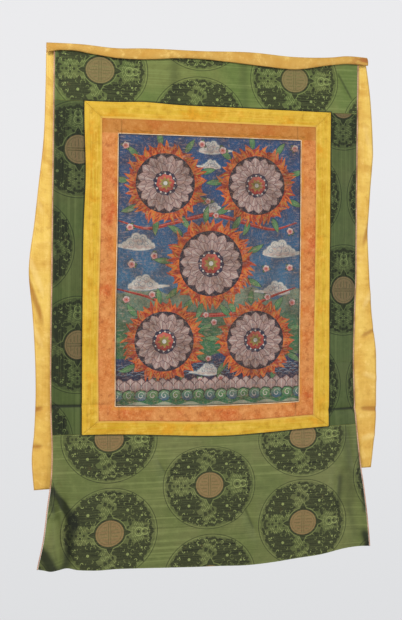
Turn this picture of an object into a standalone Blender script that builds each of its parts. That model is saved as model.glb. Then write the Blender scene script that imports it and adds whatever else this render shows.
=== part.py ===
"""A thangka: a picture on cloth, framed by silk strips and a patterned silk ground, with its thin
veil thrown back over the top edge. It hangs on the plane Y = 0 and faces -Y, with +Z up, in metres.
The origin is the middle of the top edge, where the cloth is held."""
import math

import bmesh
import bpy
import numpy as np

# The picture and the strips round it, as they show from the front
PICTURE_HALF_WIDTH = 0.200
PICTURE_TOP = -0.185
PICTURE_BOTTOM = -0.751
ORANGE_SIDE, ORANGE_TOP, ORANGE_BOTTOM = 0.035, 0.032, 0.030
YELLOW_SIDE, YELLOW_TOP, YELLOW_BOTTOM = 0.037, 0.034, 0.028
GROUND_SIDE = 0.062         # the ground's width beside the yellow strips, before it flares
FOOT_CORNER = -1.084        # the foot's two corners; its middle hangs lower
LAP = 0.006                 # how far each layer reaches under the one in front of it

# The cloth's layers, from the wall to the front
STAND = 0.008               # from the wall to the back of the ground
CLOTH = 0.0012
SEAM = 0.00035              # the gap that pieces sewn together keep
LAYER = CLOTH + SEAM
CORD_RADIUS = 0.0009
BINDING_WIDTH = 0.0024
BINDING_THICK = 0.0014
VEIL_THICK = 0.001
VEIL_STAND = 0.0035
EDGE_CLEAR = 0.0045         # from the top of the veil down to the ground's own top edge

# Outlines, as smooth curves through these points
TOP_EDGE = (                # x, z of the veil where it is folded over the top
    (-0.353, -0.0020), (-0.279, -0.0015), (-0.204, -0.0050), (-0.153, -0.0020), (-0.023, 0.0),
    (0.084, 0.0040), (0.194, 0.0), (0.279, 0.0047), (0.307, 0.0086), (0.360, 0.0080))
LIP_EDGE = (                # x, z of the lower edge of the veil's front
    (-0.353, -0.0230), (-0.328, -0.0170), (-0.304, -0.0155), (-0.254, -0.0210), (-0.204, -0.0260),
    (-0.127, -0.0240), (-0.075, -0.0185), (-0.023, -0.0176), (0.057, -0.0215), (0.111, -0.0250),
    (0.194, -0.0270), (0.250, -0.0170), (0.307, -0.0090), (0.360, -0.0100))
GROUND_SIDES = (            # z, left x, right x
    (0.020, -0.334, 0.336), (-0.440, -0.3355, 0.335), (-0.780, -0.335, 0.3345),
    (-0.845, -0.3325, 0.3407), (-0.904, -0.3342, 0.346), (-0.962, -0.3423, 0.3511),
    (-1.025, -0.3497, 0.3584), (-1.084, -0.3615, 0.3646))
GROUND_FOOT = (             # x, z
    (-0.3615, -1.0845), (-0.296, -1.0905), (-0.197, -1.0955), (-0.095, -1.1010), (0.009, -1.1050),
    (0.090, -1.1080), (0.144, -1.1055), (0.199, -1.1010), (0.255, -1.0960), (0.311, -1.0865),
    (0.3646, -1.0835))
VEIL_SIDES = (              # z, left x, right x
    (0.020, -0.352, 0.3545), (-0.100, -0.353, 0.371), (-0.200, -0.356, 0.377),
    (-0.300, -0.366, 0.370), (-0.370, -0.373, 0.366), (-0.470, -0.384, 0.369),
    (-0.560, -0.376, 0.376), (-0.635, -0.371, 0.385), (-0.750, -0.3685, 0.389),
    (-0.810, -0.371, 0.389), (-0.860, -0.375, 0.384), (-0.930, -0.370, 0.376))
VEIL_FOOT = ((-0.40, -0.927), (0.40, -0.914))

# The section of the veil's front: height as a share of the lip's, and y, along the cloth
LIP_SECTION = (
    (0.62, -0.0103), (0.30, -0.0103), (0.10, -0.0108), (0.01, -0.0122), (0.02, -0.0142),
    (0.20, -0.0166), (0.50, -0.0178), (0.78, -0.0166), (0.93, -0.0142), (0.985, -0.0112),
    (0.975, -0.0078), (0.90, -0.0054), (0.76, -0.0042))

# The ground's folds: a line from x0, z0 to x1, z1, its half width, and its rise towards the front
FOLDS = (
    (-0.330, -0.960, -0.338, -1.110, 0.013, 0.009),     # ridge beside the foot's left edge
    (-0.318, -0.950, -0.299, -1.110, 0.014, -0.012),    # trough inside it
    (-0.270, -0.960, -0.235, -1.110, 0.030, 0.006),
    (-0.110, -0.870, -0.098, -0.905, 0.012, -0.003),    # short creases in the foot
    (0.081, -0.985, 0.100, -1.035, 0.012, -0.004),
    (0.300, -0.935, 0.292, -1.005, 0.014, -0.007),      # soft trough in the foot's right side
    (0.345, -0.960, 0.372, -1.110, 0.016, 0.006),
    (-0.340, -0.752, -0.190, -0.757, 0.008, -0.0022),   # crease across the left side
    (0.272, -0.781, 0.345, -0.778, 0.008, -0.0022),     # crease across the right side
    (0.290, -0.030, 0.325, -0.085, 0.010, -0.0018),     # crease in the top's right corner
)
WAVES = ((0.62, -1.30, 0.4, 0.0010), (0.34, 0.90, 2.1, 0.0005))   # across, down, phase, rise

# Where the sewn edges bow away from straight lines: x, z, half width, half height, shift in x and z
BOWS = (
    (0.040, -0.815, 0.185, 0.060, 0.0, -0.0145),        # the lower strips sag in the middle
    (-0.145, -0.119, 0.050, 0.020, 0.0, 0.0035),
    (-0.225, -0.620, 0.035, 0.200, -0.0050, 0.0),       # the left orange strip widens downwards
    (0.232, -0.360, 0.030, 0.200, 0.0030, 0.0),
    (-0.272, -0.270, 0.030, 0.080, 0.0040, 0.0))
FOOT_SWING = 0.013          # how far the foot swings out from the wall, between these heights
FOOT_SWING_FROM, FOOT_SWING_TO = -0.812, -1.012

# The veil's folds outside the ground's sides, written as the ground's
VEIL_FOLDS = (
    (-0.395, -0.590, -0.350, -0.700, 0.018, 0.0025),
    (-0.390, -0.816, -0.350, -0.812, 0.010, 0.0020),
    (-0.390, -0.887, -0.350, -0.880, 0.010, 0.0022),
    (0.350, -0.310, 0.390, -0.400, 0.020, 0.0022),
    (0.350, -0.700, 0.395, -0.640, 0.020, 0.0025),
)
VEIL_RIPPLE, VEIL_RIPPLE_PERIOD = 0.0016, 0.21
VEIL_LOOSE_FROM, VEIL_LOOSE_TO = 0.345, 0.362     # the veil ripples only outside the ground

COLOURS = {                 # sRGB, 0 to 255
    "ground": (103, 120, 63),
    "yellow": (213, 171, 62),
    "orange": (201, 127, 70),
    "picture": (123, 98, 87),
    "cord": (214, 196, 158),
    "binding": (170, 136, 110),
    "veil": (228, 189, 96),
}
ROUGHNESS = {"ground": 0.55, "yellow": 0.5, "orange": 0.55, "picture": 0.75, "cord": 0.8,
             "binding": 0.7, "veil": 0.5}


def through(points, at, column=1):
    """The value at `at` of a smooth curve through the points, straight on past its ends."""
    rows = sorted(points)
    keys = np.array([row[0] for row in rows])
    values = np.array([row[column] for row in rows])
    slopes = np.gradient(values, keys)
    at = min(max(at, keys[0]), keys[-1])
    k = min(max(int(np.searchsorted(keys, at)) - 1, 0), len(keys) - 2)
    span = keys[k + 1] - keys[k]
    t = (at - keys[k]) / span
    start = values[k] * (1 + 2 * t) * (1 - t) ** 2 + slopes[k] * span * t * (1 - t) ** 2
    end = values[k + 1] * t * t * (3 - 2 * t) - slopes[k + 1] * span * t * t * (1 - t)
    return float(start + end)


def rise_to(value, low, high):
    """0 below low, 1 above high, smooth between."""
    t = min(max((value - low) / (high - low), 0.0), 1.0)
    return t * t * (3 - 2 * t)


def folds_at(x, z, folds):
    """The sum of the folds' soft ridges and troughs at a point."""
    total = 0.0
    for x0, z0, x1, z1, half_width, rise in folds:
        along_x, along_z = x1 - x0, z1 - z0
        length = math.hypot(along_x, along_z)
        t = ((x - x0) * along_x + (z - z0) * along_z) / length ** 2
        past_end = max(-t, t - 1, 0.0) * length
        across = abs((x - x0) * along_z - (z - z0) * along_x) / length
        total += rise * math.exp(-(across / half_width) ** 2 - (past_end / (2 * half_width)) ** 2)
    return total


def bowed(x, z):
    """Where a place on the straight pattern of sewn pieces comes to lie."""
    shares = [math.exp(-((x - row[0]) / row[2]) ** 2 - ((z - row[1]) / row[3]) ** 2) for row in BOWS]
    return (x + sum(share * row[4] for share, row in zip(shares, BOWS)),
            z + sum(share * row[5] for share, row in zip(shares, BOWS)))


def ground_depth(x, z):
    """From the wall to the back of the ground."""
    waves = sum(rise * math.sin(2 * math.pi * (x / across + z / down) + phase)
                for across, down, phase, rise in WAVES) * rise_to(-z, 0.02, 0.15)
    swing = FOOT_SWING * rise_to(-z, -FOOT_SWING_FROM, -FOOT_SWING_TO)
    return STAND + waves + swing + folds_at(x, z, FOLDS)


def veil_depth(x, z):
    """From the wall to the middle of the veil behind the ground."""
    loose = rise_to(abs(x), VEIL_LOOSE_FROM, VEIL_LOOSE_TO)
    ripple = VEIL_RIPPLE * (0.5 + 0.5 * math.sin(2 * math.pi * z / VEIL_RIPPLE_PERIOD + x * 9))
    return VEIL_STAND + loose * (ripple + folds_at(x, z, VEIL_FOLDS))


def side(z, right):
    return through(GROUND_SIDES, z, 2 if right else 1)


def steps(start, end, count):
    return [start + (end - start) * i / count for i in range(count + 1)]


def middle(one, other):
    return 0.5 * (one + other)


# Lines that all the layers share, so that their facets stay parallel where they lap
ORANGE_X = PICTURE_HALF_WIDTH + ORANGE_SIDE
YELLOW_X = ORANGE_X + YELLOW_SIDE
ORANGE_HIGH, ORANGE_LOW = PICTURE_TOP + ORANGE_TOP, PICTURE_BOTTOM - ORANGE_BOTTOM
YELLOW_HIGH, YELLOW_LOW = ORANGE_HIGH + YELLOW_TOP, ORANGE_LOW - YELLOW_BOTTOM
HALF_COLUMNS = [PICTURE_HALF_WIDTH - LAP, PICTURE_HALF_WIDTH,
                middle(PICTURE_HALF_WIDTH, ORANGE_X - LAP), ORANGE_X - LAP, ORANGE_X,
                middle(ORANGE_X, YELLOW_X - LAP), YELLOW_X - LAP, YELLOW_X]
COLUMNS = ([-x for x in reversed(HALF_COLUMNS)] +
           steps(-HALF_COLUMNS[0], HALF_COLUMNS[0], 12)[1:-1] + HALF_COLUMNS)
ROWS = ([YELLOW_HIGH, YELLOW_HIGH - LAP, middle(YELLOW_HIGH, ORANGE_HIGH), ORANGE_HIGH,
         ORANGE_HIGH - LAP, middle(ORANGE_HIGH, PICTURE_TOP), PICTURE_TOP] +
        steps(PICTURE_TOP - LAP, PICTURE_BOTTOM + LAP, 19) +
        [PICTURE_BOTTOM, middle(PICTURE_BOTTOM, ORANGE_LOW), ORANGE_LOW + LAP, ORANGE_LOW,
         middle(ORANGE_LOW, YELLOW_LOW), YELLOW_LOW + LAP, YELLOW_LOW])


def between(lines, low, high):
    return [line for line in lines if low - 1e-6 <= line <= high + 1e-6]


def linear(channel):
    share = channel / 255
    return share / 12.92 if share <= 0.04045 else ((share + 0.055) / 1.055) ** 2.4


def material(name):
    made = bpy.data.materials.get(name) or bpy.data.materials.new(name)
    made.use_nodes = True
    shader = made.node_tree.nodes["Principled BSDF"]
    shader.inputs["Base Color"].default_value = (*map(linear, COLOURS[name]), 1)
    shader.inputs["Roughness"].default_value = ROUGHNESS[name]
    shader.inputs["Metallic"].default_value = 0
    return made


def finished(name, mesh, finish):
    made = bpy.data.objects.new(name, mesh)
    made.data.materials.append(material(finish))
    thangka.objects.link(made)
    return made


def flat_grid(columns, rows):
    """A grid in the wall's plane, with its lines at the columns' x and the rows' z."""
    bm = bmesh.new()
    across, down = len(columns) - 1, len(rows) - 1
    bmesh.ops.create_grid(bm, x_segments=across, y_segments=down, size=1)
    for vert in bm.verts:
        i, j = round((vert.co.x + 1) / 2 * across), round((1 - vert.co.y) / 2 * down)
        vert.co = (columns[i], 0, rows[j])
    return bm


def cut_away(bm, x, z, side_x, side_z):
    """Takes off what lies past the line through x, z, on the side that side_x, side_z points to."""
    bmesh.ops.bisect_plane(bm, geom=bm.verts[:] + bm.edges[:] + bm.faces[:], dist=1e-6,
                           plane_co=(x, 0, z), plane_no=(side_x, 0, side_z), clear_outer=True)


def thicken(bm, thick):
    """Closes a sheet to a solid that reaches its thickness further towards the front."""
    front = bmesh.ops.extrude_face_region(bm, geom=bm.faces[:], use_keep_orig=True)["geom"]
    bmesh.ops.translate(bm, vec=(0, -thick, 0),
                        verts=[item for item in front if isinstance(item, bmesh.types.BMVert)])
    bmesh.ops.recalc_face_normals(bm, faces=bm.faces)


def sheet(name, bm, finish, layer=0):
    """A sewn sheet on the ground's folds, so many layers in front of the ground."""
    for vert in bm.verts:
        vert.co.x, vert.co.z = bowed(vert.co.x, vert.co.z)
        vert.co.y = -ground_depth(vert.co.x, vert.co.z) - layer * LAYER
    thicken(bm, CLOTH)
    mesh = bpy.data.meshes.new(name)
    bm.to_mesh(mesh)
    bm.free()
    return finished(name, mesh, finish)


HIDDEN_X = YELLOW_X - LAP   # the ground's inner edge, under the yellow strips


def to_side(x, z):
    """Where a point outside the yellow strips goes, so that the grid ends on the ground's edge."""
    share = max(abs(x) - YELLOW_X, 0.0) / GROUND_SIDE
    return x if share == 0 else math.copysign(YELLOW_X, x) * (1 - share) + side(z, x > 0) * share


def past_yellow(shares):
    return [YELLOW_X + GROUND_SIDE * share for share in shares]


def ground_top():
    """The top panel, which reaches under the yellow strip between the two side panels."""
    outer = past_yellow((0.33, 0.66, 1.0))
    columns = [-x for x in reversed(outer)] + COLUMNS + outer
    rows = steps(0.0, YELLOW_HIGH, 4) + [YELLOW_HIGH - LAP]
    bm = flat_grid(columns, rows)
    outside = [face for face in bm.faces if abs(face.calc_center_median().x) > HIDDEN_X
               and face.calc_center_median().z < YELLOW_HIGH]
    bmesh.ops.delete(bm, geom=outside, context="FACES")
    for vert in bm.verts:
        x, z = vert.co.x, vert.co.z
        high = through(TOP_EDGE, x) - EDGE_CLEAR
        if z > YELLOW_HIGH:
            vert.co.z = YELLOW_HIGH + (high - YELLOW_HIGH) * (1 - z / YELLOW_HIGH)
        vert.co.x = to_side(x, vert.co.z)
    return sheet("ground_top", bm, "ground")


def ground_side(name, right):
    """A side panel, from seam to seam."""
    sign = 1 if right else -1
    columns = [HIDDEN_X + SEAM, YELLOW_X] + past_yellow((0.33, 0.66, 1.0))
    rows = [YELLOW_HIGH - SEAM] + ROWS[1:-1] + [YELLOW_LOW + SEAM]
    bm = flat_grid([sign * x for x in columns], rows)
    for vert in bm.verts:
        vert.co.x = to_side(vert.co.x, vert.co.z)
    return sheet(name, bm, "ground")


def ground_bottom():
    """The flared foot panel, which reaches up under the yellow strip between the side panels."""
    outer = past_yellow((0.18, 0.36, 0.52, 0.68, 0.84, 1.0))
    columns = [-x for x in reversed(outer)] + COLUMNS + outer
    rows = [YELLOW_LOW + LAP] + steps(YELLOW_LOW, FOOT_CORNER, 12)
    bm = flat_grid(columns, rows)
    outside = [face for face in bm.faces if abs(face.calc_center_median().x) > HIDDEN_X
               and face.calc_center_median().z > YELLOW_LOW]
    bmesh.ops.delete(bm, geom=outside, context="FACES")
    for vert in bm.verts:
        x, z = vert.co.x, vert.co.z
        if z > YELLOW_LOW + 1e-6:
            continue
        vert.co.x = to_side(x, z)
        drop = (YELLOW_LOW - z) / (YELLOW_LOW - FOOT_CORNER)
        vert.co.z = YELLOW_LOW + (through(GROUND_FOOT, vert.co.x) - YELLOW_LOW) * drop
    return sheet("ground_bottom", bm, "ground")


def binding(name, right):
    """The narrow edge along a whole side of the ground."""
    sign = 1 if right else -1
    high = through(TOP_EDGE, side(0.0, right)) - EDGE_CLEAR
    foot = through(GROUND_FOOT, side(FOOT_CORNER, right))
    rows = steps(high, YELLOW_HIGH, 4) + ROWS[1:-1] + steps(YELLOW_LOW, foot, 12)
    bm = flat_grid([SEAM, SEAM + BINDING_WIDTH], rows)
    for vert in bm.verts:
        edge = side(vert.co.z, right)
        vert.co.y = -ground_depth(edge, vert.co.z) + 0.5 * (BINDING_THICK - CLOTH)
        vert.co.x = edge + sign * vert.co.x
    thicken(bm, BINDING_THICK)
    mesh = bpy.data.meshes.new(name)
    bm.to_mesh(mesh)
    bm.free()
    return finished(name, mesh, "binding")


def yellow_strips():
    """Four strips with mitred corners."""
    rows_high = between(ROWS, ORANGE_HIGH - LAP, YELLOW_HIGH)
    rows_low = between(ROWS, YELLOW_LOW, ORANGE_LOW + LAP)
    half = 0.5 * SEAM
    for name, high, sign in (("yellow_top", True, 1), ("yellow_bottom", False, -1)):
        bm = flat_grid(COLUMNS, rows_high if high else rows_low)
        corner_z = YELLOW_HIGH if high else YELLOW_LOW
        run = YELLOW_TOP if high else YELLOW_BOTTOM
        for out in (-1, 1):
            cut_away(bm, out * (YELLOW_X - half), corner_z, out * run, -sign * YELLOW_SIDE)
        sheet(name, bm, "yellow", 1)
    for name, sign in (("yellow_left", -1), ("yellow_right", 1)):
        bm = flat_grid([sign * x for x in between(HALF_COLUMNS, ORANGE_X - LAP, YELLOW_X)], ROWS)
        for corner_z, run, down in ((YELLOW_HIGH, YELLOW_TOP, 1), (YELLOW_LOW, YELLOW_BOTTOM, -1)):
            cut_away(bm, sign * (YELLOW_X + half), corner_z, -sign * run, down * YELLOW_SIDE)
        sheet(name, bm, "yellow", 1)


def orange_strips():
    """Two long side strips, with the top and bottom strips set between them."""
    rows = between(ROWS, ORANGE_LOW, ORANGE_HIGH)
    for name, sign in (("orange_left", -1), ("orange_right", 1)):
        columns = between(HALF_COLUMNS, PICTURE_HALF_WIDTH - LAP, ORANGE_X)
        sheet(name, flat_grid([sign * x for x in columns], rows), "orange", 2)
    inner = between(COLUMNS, LAP - PICTURE_HALF_WIDTH, PICTURE_HALF_WIDTH - LAP)
    inner[0] += SEAM
    inner[-1] -= SEAM
    for name, low, high in (("orange_top", PICTURE_TOP - LAP, ORANGE_HIGH),
                            ("orange_bottom", ORANGE_LOW, PICTURE_BOTTOM + LAP)):
        sheet(name, flat_grid(inner, between(ROWS, low, high)), "orange", 2)


def picture():
    columns = between(COLUMNS, -PICTURE_HALF_WIDTH, PICTURE_HALF_WIDTH)
    return sheet("picture", flat_grid(columns, between(ROWS, PICTURE_BOTTOM, PICTURE_TOP)),
                 "picture", 3)


def cord_round_picture():
    """A cord laid on the orange strips, along the picture's edge."""
    out = SEAM + CORD_RADIUS
    half, high, low = PICTURE_HALF_WIDTH + out, PICTURE_TOP + out, PICTURE_BOTTOM - out
    bend = out * (1 - math.sqrt(0.5))
    across = between(COLUMNS, -PICTURE_HALF_WIDTH, PICTURE_HALF_WIDTH)
    down = between(ROWS, PICTURE_BOTTOM, PICTURE_TOP)
    path = [(x, high) for x in across] + [(half - bend, high - bend)]
    path += [(half, z) for z in down] + [(half - bend, low + bend)]
    path += [(x, low) for x in reversed(across)] + [(bend - half, low + bend)]
    path += [(-half, z) for z in reversed(down)] + [(bend - half, high - bend)]
    curve = bpy.data.curves.new("cord", "CURVE")
    curve.dimensions = "3D"
    curve.bevel_depth = CORD_RADIUS
    curve.bevel_resolution = 1
    spline = curve.splines.new("POLY")
    spline.points.add(len(path) - 1)
    for point, (x, z) in zip(spline.points, path):
        x, z = bowed(x, z)
        depth = ground_depth(x, z) + 2 * LAYER + CLOTH + SEAM + CORD_RADIUS
        point.co = (x, -depth, z, 1)
    spline.use_cyclic_u = True
    return finished("cord", curve, "cord")


def veil():
    """One sheet: turned under at its front edge, over the top, and down behind the ground."""
    lip = len(LIP_SECTION)
    behind = steps(0.0, 1.0, 22)
    shares = [-1.0, -0.97, -0.935, -0.9, -0.86] + steps(-0.75, 0.75, 10) + [
        0.86, 0.9, 0.935, 0.97, 1.0]
    bm = flat_grid(shares, list(range(lip + len(behind) - 1)))
    for vert in bm.verts:
        share, row = vert.co.x, round(vert.co.z)
        x_top = through(VEIL_SIDES, 0.0, 2 if share > 0 else 1) * abs(share)
        high, low = through(TOP_EDGE, x_top), through(LIP_EDGE, x_top)
        height, y = LIP_SECTION[min(row, lip - 1)]
        z = low + (high - low) * height - 0.5 * VEIL_THICK
        if row >= lip:
            t = behind[row - lip + 1]
            z += (through(VEIL_FOOT, x_top) - z) * t
        x = through(VEIL_SIDES, z, 2 if share > 0 else 1) * abs(share)
        if row >= lip:
            y = -veil_depth(x, z)
        vert.co = (x, y, z)
    bmesh.ops.recalc_face_normals(bm, faces=bm.faces)
    mesh = bpy.data.meshes.new("veil")
    bm.to_mesh(mesh)
    bm.free()
    made = finished("veil", mesh, "veil")
    thickness = made.modifiers.new("Thickness", "SOLIDIFY")
    thickness.thickness = VEIL_THICK
    thickness.offset = 0
    thickness.use_even_offset = True
    return made


for old in list(bpy.data.objects):
    bpy.data.objects.remove(old, do_unlink=True)
thangka = bpy.data.collections.new("thangka")
bpy.context.scene.collection.children.link(thangka)
ground_top()
ground_side("ground_left", False)
ground_side("ground_right", True)
ground_bottom()
binding("binding_left", False)
binding("binding_right", True)
yellow_strips()
orange_strips()
picture()
cord_round_picture()
veil()
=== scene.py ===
import math
import random

import bmesh
import bpy
import numpy as np
from mathutils import Matrix, Vector
from mathutils.geometry import delaunay_2d_cdt


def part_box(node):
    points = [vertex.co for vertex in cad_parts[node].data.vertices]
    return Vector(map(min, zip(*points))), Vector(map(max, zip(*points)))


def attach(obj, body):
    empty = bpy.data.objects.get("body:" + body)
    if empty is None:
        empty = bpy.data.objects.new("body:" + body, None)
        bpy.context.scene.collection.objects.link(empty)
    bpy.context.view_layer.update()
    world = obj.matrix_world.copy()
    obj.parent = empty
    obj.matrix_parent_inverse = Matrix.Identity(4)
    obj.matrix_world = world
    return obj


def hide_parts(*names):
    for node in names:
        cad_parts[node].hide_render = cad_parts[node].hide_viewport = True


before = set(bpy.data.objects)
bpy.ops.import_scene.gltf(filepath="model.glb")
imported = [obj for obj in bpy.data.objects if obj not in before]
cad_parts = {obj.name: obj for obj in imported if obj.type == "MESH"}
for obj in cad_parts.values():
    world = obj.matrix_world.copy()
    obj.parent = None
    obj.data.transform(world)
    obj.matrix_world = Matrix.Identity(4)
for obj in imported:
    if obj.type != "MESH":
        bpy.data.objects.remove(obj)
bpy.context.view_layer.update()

# ---------------------------------------------------------------------------------------------
# The picture: cotton sized with chalk and glue, painted in matt colours, then cracked and rubbed
# where it was rolled. Its place holds a plain pattern of lotus flowers, clouds, leaves and waves.
# It is the front layer of the sewn hanging, so the form that all the layers share comes with it.
MM = 0.001
CLOTH, SEAM = 0.0012, 0.00035
LAYER = CLOTH + SEAM
STAND = 0.008               # from Y 0 to the back of the ground, the rearmost sewn layer
SEEN_CLOTH = 0.0007         # how thick each sheet looks at its edges
EDGE_ROWS = (0.0006, 0.0013, 0.0022)            # rows of points so far inside a sheet's edge
TUCK, PUCKER, PUCKER_LENGTH, PUCKER_REACH = 0.0004, 0.00012, 0.017, 0.009
CREASE_STEP, CREASE_ROWS = 0.003, (-1.6, -0.9, -0.35, 0.35, 0.9, 1.6)      # rows in half widths
WAVES = (                   # across, down, phase, rise
    (0.62, -1.30, 0.4, 0.0010), (0.34, 0.90, 2.1, 0.0005),
    (0.147, 0.41, 0.8, 0.00040), (-0.31, 0.118, 2.6, 0.00035), (0.083, -0.29, 4.0, 0.00018))
WAVES_FROM, WAVES_TO = 0.02, 0.15               # below the top edge: where they set in, and are full
FOOT_SWING, FOOT_FROM, FOOT_TO = 0.013, 0.812, 1.012        # how far out, and between which depths
FOLDS = (                   # x0, z0, x1, z1, half width, rise towards the front
    (-0.330, -0.960, -0.338, -1.110, 0.013, 0.009),
    (-0.318, -0.950, -0.299, -1.110, 0.014, -0.012),
    (-0.270, -0.960, -0.235, -1.110, 0.030, 0.006),
    (-0.110, -0.870, -0.098, -0.905, 0.012, -0.003),
    (0.081, -0.985, 0.100, -1.035, 0.012, -0.004),
    (0.300, -0.935, 0.292, -1.005, 0.014, -0.007),
    (0.345, -0.960, 0.372, -1.110, 0.016, 0.006),
    (-0.340, -0.752, -0.190, -0.757, 0.008, -0.0022),
    (0.272, -0.781, 0.345, -0.778, 0.008, -0.0022),
    (0.290, -0.030, 0.325, -0.085, 0.010, -0.0018))
CREASES = (                 # the pressed lines, in the same columns
    (-0.338, -0.7525, -0.222, -0.7545, 0.0026, -0.0014),
    (-0.222, -0.7545, -0.185, -0.7500, 0.0030, -0.0006),
    (0.274, -0.7805, 0.340, -0.7785, 0.0026, -0.0012),
    (0.274, -0.6765, 0.336, -0.6760, 0.0030, -0.0006),
    (0.212, -0.7430, 0.270, -0.7400, 0.0026, -0.0007),
    (0.212, -0.7530, 0.270, -0.7500, 0.0024, -0.0005),
    (-0.108, -0.880, -0.097, -0.899, 0.0030, -0.0014),
    (0.079, -0.992, 0.100, -1.030, 0.0032, -0.0016),
    (0.290, -0.033, 0.312, -0.074, 0.0026, -0.0011),
    (0.304, -0.030, 0.324, -0.082, 0.0026, -0.0010),
    (-0.190, -0.480, 0.020, -0.483, 0.0030, -0.0005),
    (-0.150, -0.560, 0.170, -0.556, 0.0030, 0.0004),
    (-0.060, -0.332, 0.190, -0.330, 0.0030, -0.0004),
    (-0.195, -0.656, 0.120, -0.662, 0.0030, -0.0004),
    (-0.345, -0.985, -0.300, -0.962, 0.0060, 0.0018),
    (-0.290, -1.030, -0.262, -0.985, 0.0060, 0.0014),
    (-0.205, -1.060, -0.190, -1.010, 0.0050, -0.0009),
    (0.318, -0.830, 0.330, -0.900, 0.0050, -0.0014))

FOLD_SHADING = (                  # painted shade in fold troughs, creases and where the cloth turns away, and painted highlight on ridges where the share is below 0: the share last
    (-0.332, -0.925, -0.308, -0.962, 0.006, 0.8), (-0.308, -0.962, -0.292, -0.992, 0.009, 0.9),
    (-0.292, -0.992, -0.302, -1.075, 0.012, 0.8), (-0.338, -0.930, -0.332, -0.965, 0.008, 0.6),
    (-0.354, -1.050, -0.332, -1.085, 0.015, 1.0), (-0.326, -0.990, -0.320, -1.070, 0.007, -0.6),
    (-0.340, -0.985, -0.346, -1.030, 0.006, -0.4), (-0.272, -0.985, -0.262, -1.010, 0.005, 0.3),
    (0.300, -0.935, 0.294, -1.000, 0.007, 0.55), (0.345, -0.850, 0.352, -1.000, 0.006, 0.7),
    (0.356, -1.060, 0.364, -1.085, 0.009, 1.0), (0.318, -1.000, 0.332, -1.050, 0.010, 0.35),
    (-0.108, -0.883, -0.097, -0.901, 0.0035, 0.4), (0.081, -0.990, 0.096, -1.026, 0.0035, 0.5),
    (-0.338, -0.7535, -0.276, -0.7545, 0.0032, 1.1), (0.276, -0.7805, 0.334, -0.7785, 0.0030, 0.9),
    (-0.082, -0.030, -0.086, -0.110, 0.016, 0.45), (0.070, -0.030, 0.074, -0.110, 0.014, 0.4),
    (0.318, -0.840, 0.322, -0.960, 0.018, 0.45), (-0.328, -0.540, -0.328, -0.780, 0.006, 0.4),
    (-0.200, -0.030, -0.204, -0.105, 0.010, 0.3), (0.292, -0.034, 0.322, -0.084, 0.0030, 0.6),
    (-0.328, -0.030, -0.326, -0.500, 0.006, 0.4), (0.328, -0.120, 0.328, -0.760, 0.007, 0.35))
BOWS = (                    # x, z, half width, half height, shift in x and z
    (0.040, -0.815, 0.185, 0.060, 0.0, -0.0145),
    (-0.145, -0.119, 0.050, 0.020, 0.0, 0.0035),
    (-0.225, -0.620, 0.035, 0.200, -0.0050, 0.0),
    (0.232, -0.360, 0.030, 0.200, 0.0030, 0.0),
    (-0.272, -0.270, 0.030, 0.080, 0.0040, 0.0))


def ease(value, low, high):
    t = np.clip((value - low) / (high - low), 0, 1)
    return t * t * (3 - 2 * t)


def ridges(x, z, table):
    """The height of the table's soft ridges and troughs at each point."""
    total = np.zeros_like(x)
    for x0, z0, x1, z1, half_width, rise in table:
        run_x, run_z = x1 - x0, z1 - z0
        length = math.hypot(run_x, run_z)
        t = ((x - x0) * run_x + (z - z0) * run_z) / length ** 2
        past = np.maximum(np.maximum(-t, t - 1), 0) * length
        across = np.abs((x - x0) * run_z - (z - z0) * run_x) / length
        total += rise * np.exp(-(across / half_width) ** 2 - (past / (2 * half_width)) ** 2)
    return total


def hang(x, z):
    """From the plane at Y 0 out to the back of the ground."""
    waves = sum(rise * np.sin(2 * np.pi * (x / across + z / down) + phase)
                for across, down, phase, rise in WAVES)
    swing = FOOT_SWING * ease(-z, FOOT_FROM, FOOT_TO)
    return (STAND + waves * ease(-z, WAVES_FROM, WAVES_TO) + swing + ridges(x, z, FOLDS)
            + ridges(x, z, CREASES))


def bowed(x, z):
    """Where a place on the straight pattern of sewn pieces comes to lie."""
    shares = [np.exp(-((x - row[0]) / row[2]) ** 2 - ((z - row[1]) / row[3]) ** 2) for row in BOWS]
    return (x + sum(share * row[4] for share, row in zip(shares, BOWS)),
            z + sum(share * row[5] for share, row in zip(shares, BOWS)))


def trace(corners, step=0.003):
    """A closed outline through the corners, with a point at every step."""
    points = []
    for start, end in zip(corners, corners[1:] + corners[:1]):
        count = max(1, round(math.dist(start, end) / step))
        points += [(start[0] + (end[0] - start[0]) * k / count,
                    start[1] + (end[1] - start[1]) * k / count) for k in range(count)]
    return points


def box_outline(left, right, low, high):
    return trace([(left, low), (right, low), (right, high), (left, high)])


def edge_distance(points, outline):
    """How far each point is from an outline."""
    starts = np.array(outline)
    nearest = np.full(len(points), 1e9)
    for start, run in zip(starts, np.roll(starts, -1, axis=0) - starts):
        t = np.clip(((points - start) @ run) / (run @ run), 0, 1)
        nearest = np.minimum(nearest, np.hypot(*(points - start - t[:, None] * run).T))
    return nearest


def crease_places(low, high):
    """Rows of points along the creases, so that the cloth can bend sharply there."""
    places = []
    for x0, z0, x1, z1, half_width, _ in CREASES:
        length = math.hypot(x1 - x0, z1 - z0)
        side = ((z0 - z1) / length, (x1 - x0) / length)
        for k in range(int(length / CREASE_STEP) + 1):
            t = k * CREASE_STEP / length
            for offset in CREASE_ROWS:
                x = x0 + (x1 - x0) * t + side[0] * offset * half_width
                z = z0 + (z1 - z0) * t + side[1] * offset * half_width
                if low[0] < x < high[0] and low[1] < z < high[1]:
                    places.append((x, z))
    return places


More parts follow.
